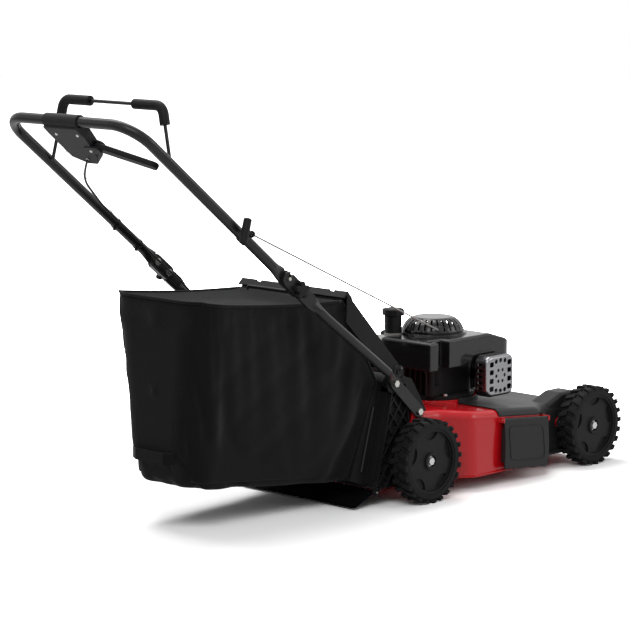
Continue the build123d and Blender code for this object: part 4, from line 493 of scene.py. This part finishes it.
# ------------------------------------------------------------------ cords, screws and the door's raised line
def cord_line(name, points, radius, look):
    """A cord along a smooth spline, with these points as its control points."""
    curve = bpy.data.curves.new(name, "CURVE")
    curve.dimensions = "3D"
    curve.bevel_depth = radius
    curve.bevel_resolution = 4
    curve.resolution_u = 24
    line = curve.splines.new("NURBS")
    line.points.add(len(points) - 1)
    for point, place in zip(line.points, points):
        point.co = (*place, 1)
    line.order_u = 3
    line.use_endpoint_u = True
    obj = bpy.data.objects.new(name, curve)
    bpy.context.scene.collection.objects.link(obj)
    curve.materials.append(look)
    return obj


def surface_at(node, origin, way):
    """Where a ray first meets a node, and the surface's direction there."""
    hit, place, normal, _ = nodes[node].ray_cast(Vector(origin), Vector(way))
    return (place, normal) if hit else (None, None)


upper_route = [
    (-0.7360, 0.0180, 0.8600), (-0.7120, 0.0560, 0.8330), (-0.6670, 0.1060, 0.8010),
    (-0.5970, 0.1600, 0.7680), (-0.5238, 0.1988, 0.7187), (-0.3224, 0.1988, 0.5559),
]
lower_route = [
    (-0.3216, 0.1988, 0.5553), (-0.2734, 0.1988, 0.5163), (-0.2221, 0.2081, 0.4748), (-0.0550, 0.2081, 0.3540),
    (0.0200, 0.1900, 0.3310), (0.1050, 0.1900, 0.3060), (0.2150, 0.1220, 0.2620), (0.2999, 0.0920, 0.2500),
    (0.3569, 0.0840, 0.2500),
]
cable_radius = 0.0026
cable_upper = cord_line("control_cable_upper", upper_route, cable_radius, looks["soft_rubber"])
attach(cable_upper, "upper_frame")
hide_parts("cable_upper")
cable_lower = cord_line("control_cable_lower", lower_route, cable_radius, looks["soft_rubber"])
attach(cable_lower, "chassis")
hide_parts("cable_lower")
brake_wire = tube("brake_wire", [Vector((-0.48646, 0.1952, 0.68855)), Vector((-0.67505, 0.201, 0.902))], 0.0008,
                  looks["zinc_steel"], sides=8)
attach(brake_wire, "upper_frame")

rope_from, rope_to = Vector((0.3506, -0.0590, 0.3672)), Vector((-0.4745, -0.2361, 0.6926))
rope_radius, rope_rings = 0.0022, 700
rope_path = [rope_from.lerp(rope_to, step / rope_rings) for step in range(rope_rings + 1)]
pull_rope = tube("pull_rope", rope_path, rope_radius, looks["rope_cord"], sides=12, strands=3)
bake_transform(pull_rope)
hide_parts("starter_rope")

up_leg = Vector((-0.777614, 0, 0.628743))
off_leg = Vector((0.628743, 0, 0.777614))
crossbar = Vector((-0.81105, 0, 0.951))
screws = bmesh.new()
for down, across in ((0.024, -0.030), (0.080, -0.0254), (0.024, 0.040), (0.118, 0.022)):
    above = crossbar - up_leg * down + Vector((0, across, 0)) - off_leg * 0.08
    place, normal = surface_at("control_bracket", above, off_leg)
    if place is None:
        continue
    turn = normal.to_track_quat("Z", "Y").to_matrix().to_4x4()
    seat = Matrix.Translation(place + normal * 0.0008) @ turn
    bmesh.ops.create_cone(screws, cap_ends=True, segments=20, radius1=0.0042, radius2=0.003, depth=0.0022,
                          matrix=seat)
    for quarter in (0.0, pi / 2):
        slot_at = seat @ Matrix.Translation((0, 0, 0.0009)) @ Matrix.Rotation(quarter + 0.4, 4, "Z")
        bmesh.ops.create_cube(screws, size=1, matrix=slot_at @ Matrix.Diagonal((0.0042, 0.0008, 0.0006, 1)))
screw_mesh = bpy.data.meshes.new("bracket_screws")
screws.to_mesh(screw_mesh)
screws.free()
bracket_screws = bpy.data.objects.new("bracket_screws", screw_mesh)
bpy.context.scene.collection.objects.link(bracket_screws)
dress(bracket_screws, looks["zinc_steel"])
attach(bracket_screws, "upper_frame")


side_door_lean = -5.7       # degrees, down towards the front


def door_bead(low_share, high_share, near, far, round_off=0.016):
    """A thin raised line round the side door's panel, laid on its outer skin."""
    low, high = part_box("side_discharge_door")
    slope = tan(radians(side_door_lean))
    height = high[2] - low[2]
    corners = [(near, low_share), (far, low_share), (far, high_share), (near, high_share)]
    flat = [Vector((low[0] + (high[0] - low[0]) * a, low[2] + height * b)) for a, b in corners]
    for point in flat:
        point.y += slope * (point.x - (low[0] + high[0]) / 2)
    loop = []
    for index, corner in enumerate(flat):
        before = (flat[index - 1] - corner).normalized()
        after = (flat[(index + 1) % 4] - corner).normalized()
        for step in range(7):
            t = step / 6
            loop.append((corner + before * round_off) * (1 - t) ** 2 + corner * 2 * t * (1 - t)
                        + (corner + after * round_off) * t ** 2)
    path = []
    for index, point in enumerate(loop):
        nxt = loop[(index + 1) % len(loop)]
        for step in range(3):
            at = point.lerp(nxt, step / 3)
            place, normal = surface_at("side_discharge_door", (at.x, -0.33, at.y), (0, 1, 0))
            if place is not None:
                path.append(place + normal * 0.0002)
    return tube("door_bead", path, 0.0014, door_plastic, sides=8, closed=True)


panel_bead = door_bead(0.2, 0.8, 0.13, 0.86)
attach(panel_bead, "side_door")


# ------------------------------------------------------------------ stage, light and camera
def by_ray(tree, seen, mirrored, lit):
    """A number for camera rays, one for glossy and transmission rays, and one for the light on the object."""
    path = tree.nodes.new("ShaderNodeLightPath")
    through = tree.nodes.new("ShaderNodeMath")
    through.operation = "MAXIMUM"
    tree.links.new(path.outputs["Is Glossy Ray"], through.inputs[0])
    tree.links.new(path.outputs["Is Transmission Ray"], through.inputs[1])
    value = lit
    for chosen, ray in ((mirrored, through.outputs[0]), (seen, path.outputs["Is Camera Ray"])):
        pick = tree.nodes.new("ShaderNodeMix")
        pick.data_type = "FLOAT"
        for number, socket in ((value, pick.inputs[2]), (chosen, pick.inputs[3])):
            if isinstance(number, float):
                socket.default_value = number
            else:
                tree.links.new(number, socket)
        tree.links.new(ray, pick.inputs[0])
        value = pick.outputs[0]
    return value


def stage_plane():
    """A white floor that keeps the object's shadow; its colour rises outwards to stay white where light falls off."""
    mesh = bpy.data.meshes.new("floor")
    reach = 14.0
    corners = [(-reach, -reach, 0), (reach, -reach, 0), (reach, reach, 0), (-reach, reach, 0)]
    mesh.from_pydata(corners, [], [(0, 1, 2, 3)])
    floor = bpy.data.objects.new("floor", mesh)
    bpy.context.scene.collection.objects.link(floor)
    look = bpy.data.materials.new("floor")
    look.use_nodes = True
    tree = look.node_tree
    shader = tree.nodes["Principled BSDF"]
    place = tree.nodes.new("ShaderNodeTexCoord")
    reach_out = tree.nodes.new("ShaderNodeVectorMath")
    reach_out.operation = "LENGTH"
    tree.links.new(place.outputs["Object"], reach_out.inputs[0])
    rise = tree.nodes.new("ShaderNodeMapRange")
    rise.inputs["From Min"].default_value = 0.9
    rise.inputs["From Max"].default_value = 2.8
    rise.inputs["To Min"].default_value = 1.9
    rise.inputs["To Max"].default_value = 10.0
    tree.links.new(reach_out.outputs["Value"], rise.inputs["Value"])
    tree.links.new(by_ray(tree, rise.outputs["Result"], 1.3, 0.6), shader.inputs["Base Color"])
    shader.inputs["Roughness"].default_value = 1.0
    shader.inputs["Specular IOR Level"].default_value = 0.0
    mesh.materials.append(look)
    return floor


def area_light(name, place, size, power, aim=(0, 0, 0.4)):
    light = bpy.data.lights.new(name, "AREA")
    light.shape = "RECTANGLE"
    light.size, light.size_y = size
    light.energy = power
    obj = bpy.data.objects.new(name, light)
    obj.location = place
    obj.rotation_euler = (Vector(aim) - Vector(place)).to_track_quat("-Z", "Y").to_euler()
    bpy.context.scene.collection.objects.link(obj)
    return obj


lights = [
    area_light("key", (-2.6, -2.2, 3.4), (2.6, 2.0), 52),
    area_light("side", (2.4, -3.0, 1.9), (2.2, 1.8), 30),
    area_light("top", (0.3, 1.2, 3.6), (3.0, 2.4), 92),
]
floor = stage_plane()

world = bpy.data.worlds.new("studio")
bpy.context.scene.world = world
world.use_nodes = True
backdrop = world.node_tree.nodes["Background"]
backdrop.inputs["Color"].default_value = (1, 1, 1, 1)
world.node_tree.links.new(by_ray(world.node_tree, 1.0, 1.0, 0.18), backdrop.inputs["Strength"])

camera = bpy.data.cameras.new("camera")
camera.lens = 147.9
camera.sensor_width = 36.0
camera.clip_end = 60.0
camera_object = bpy.data.objects.new("camera", camera)
camera_object.location = (-4.4649, -4.2772, 1.3694)
looking = Vector((-0.0358, 0, 0.4426)) - camera_object.location
camera_object.rotation_euler = looking.to_track_quat("-Z", "Y").to_euler()
bpy.context.scene.collection.objects.link(camera_object)
bpy.context.scene.camera = camera_object
bpy.context.scene.view_settings.view_transform = "Standard"
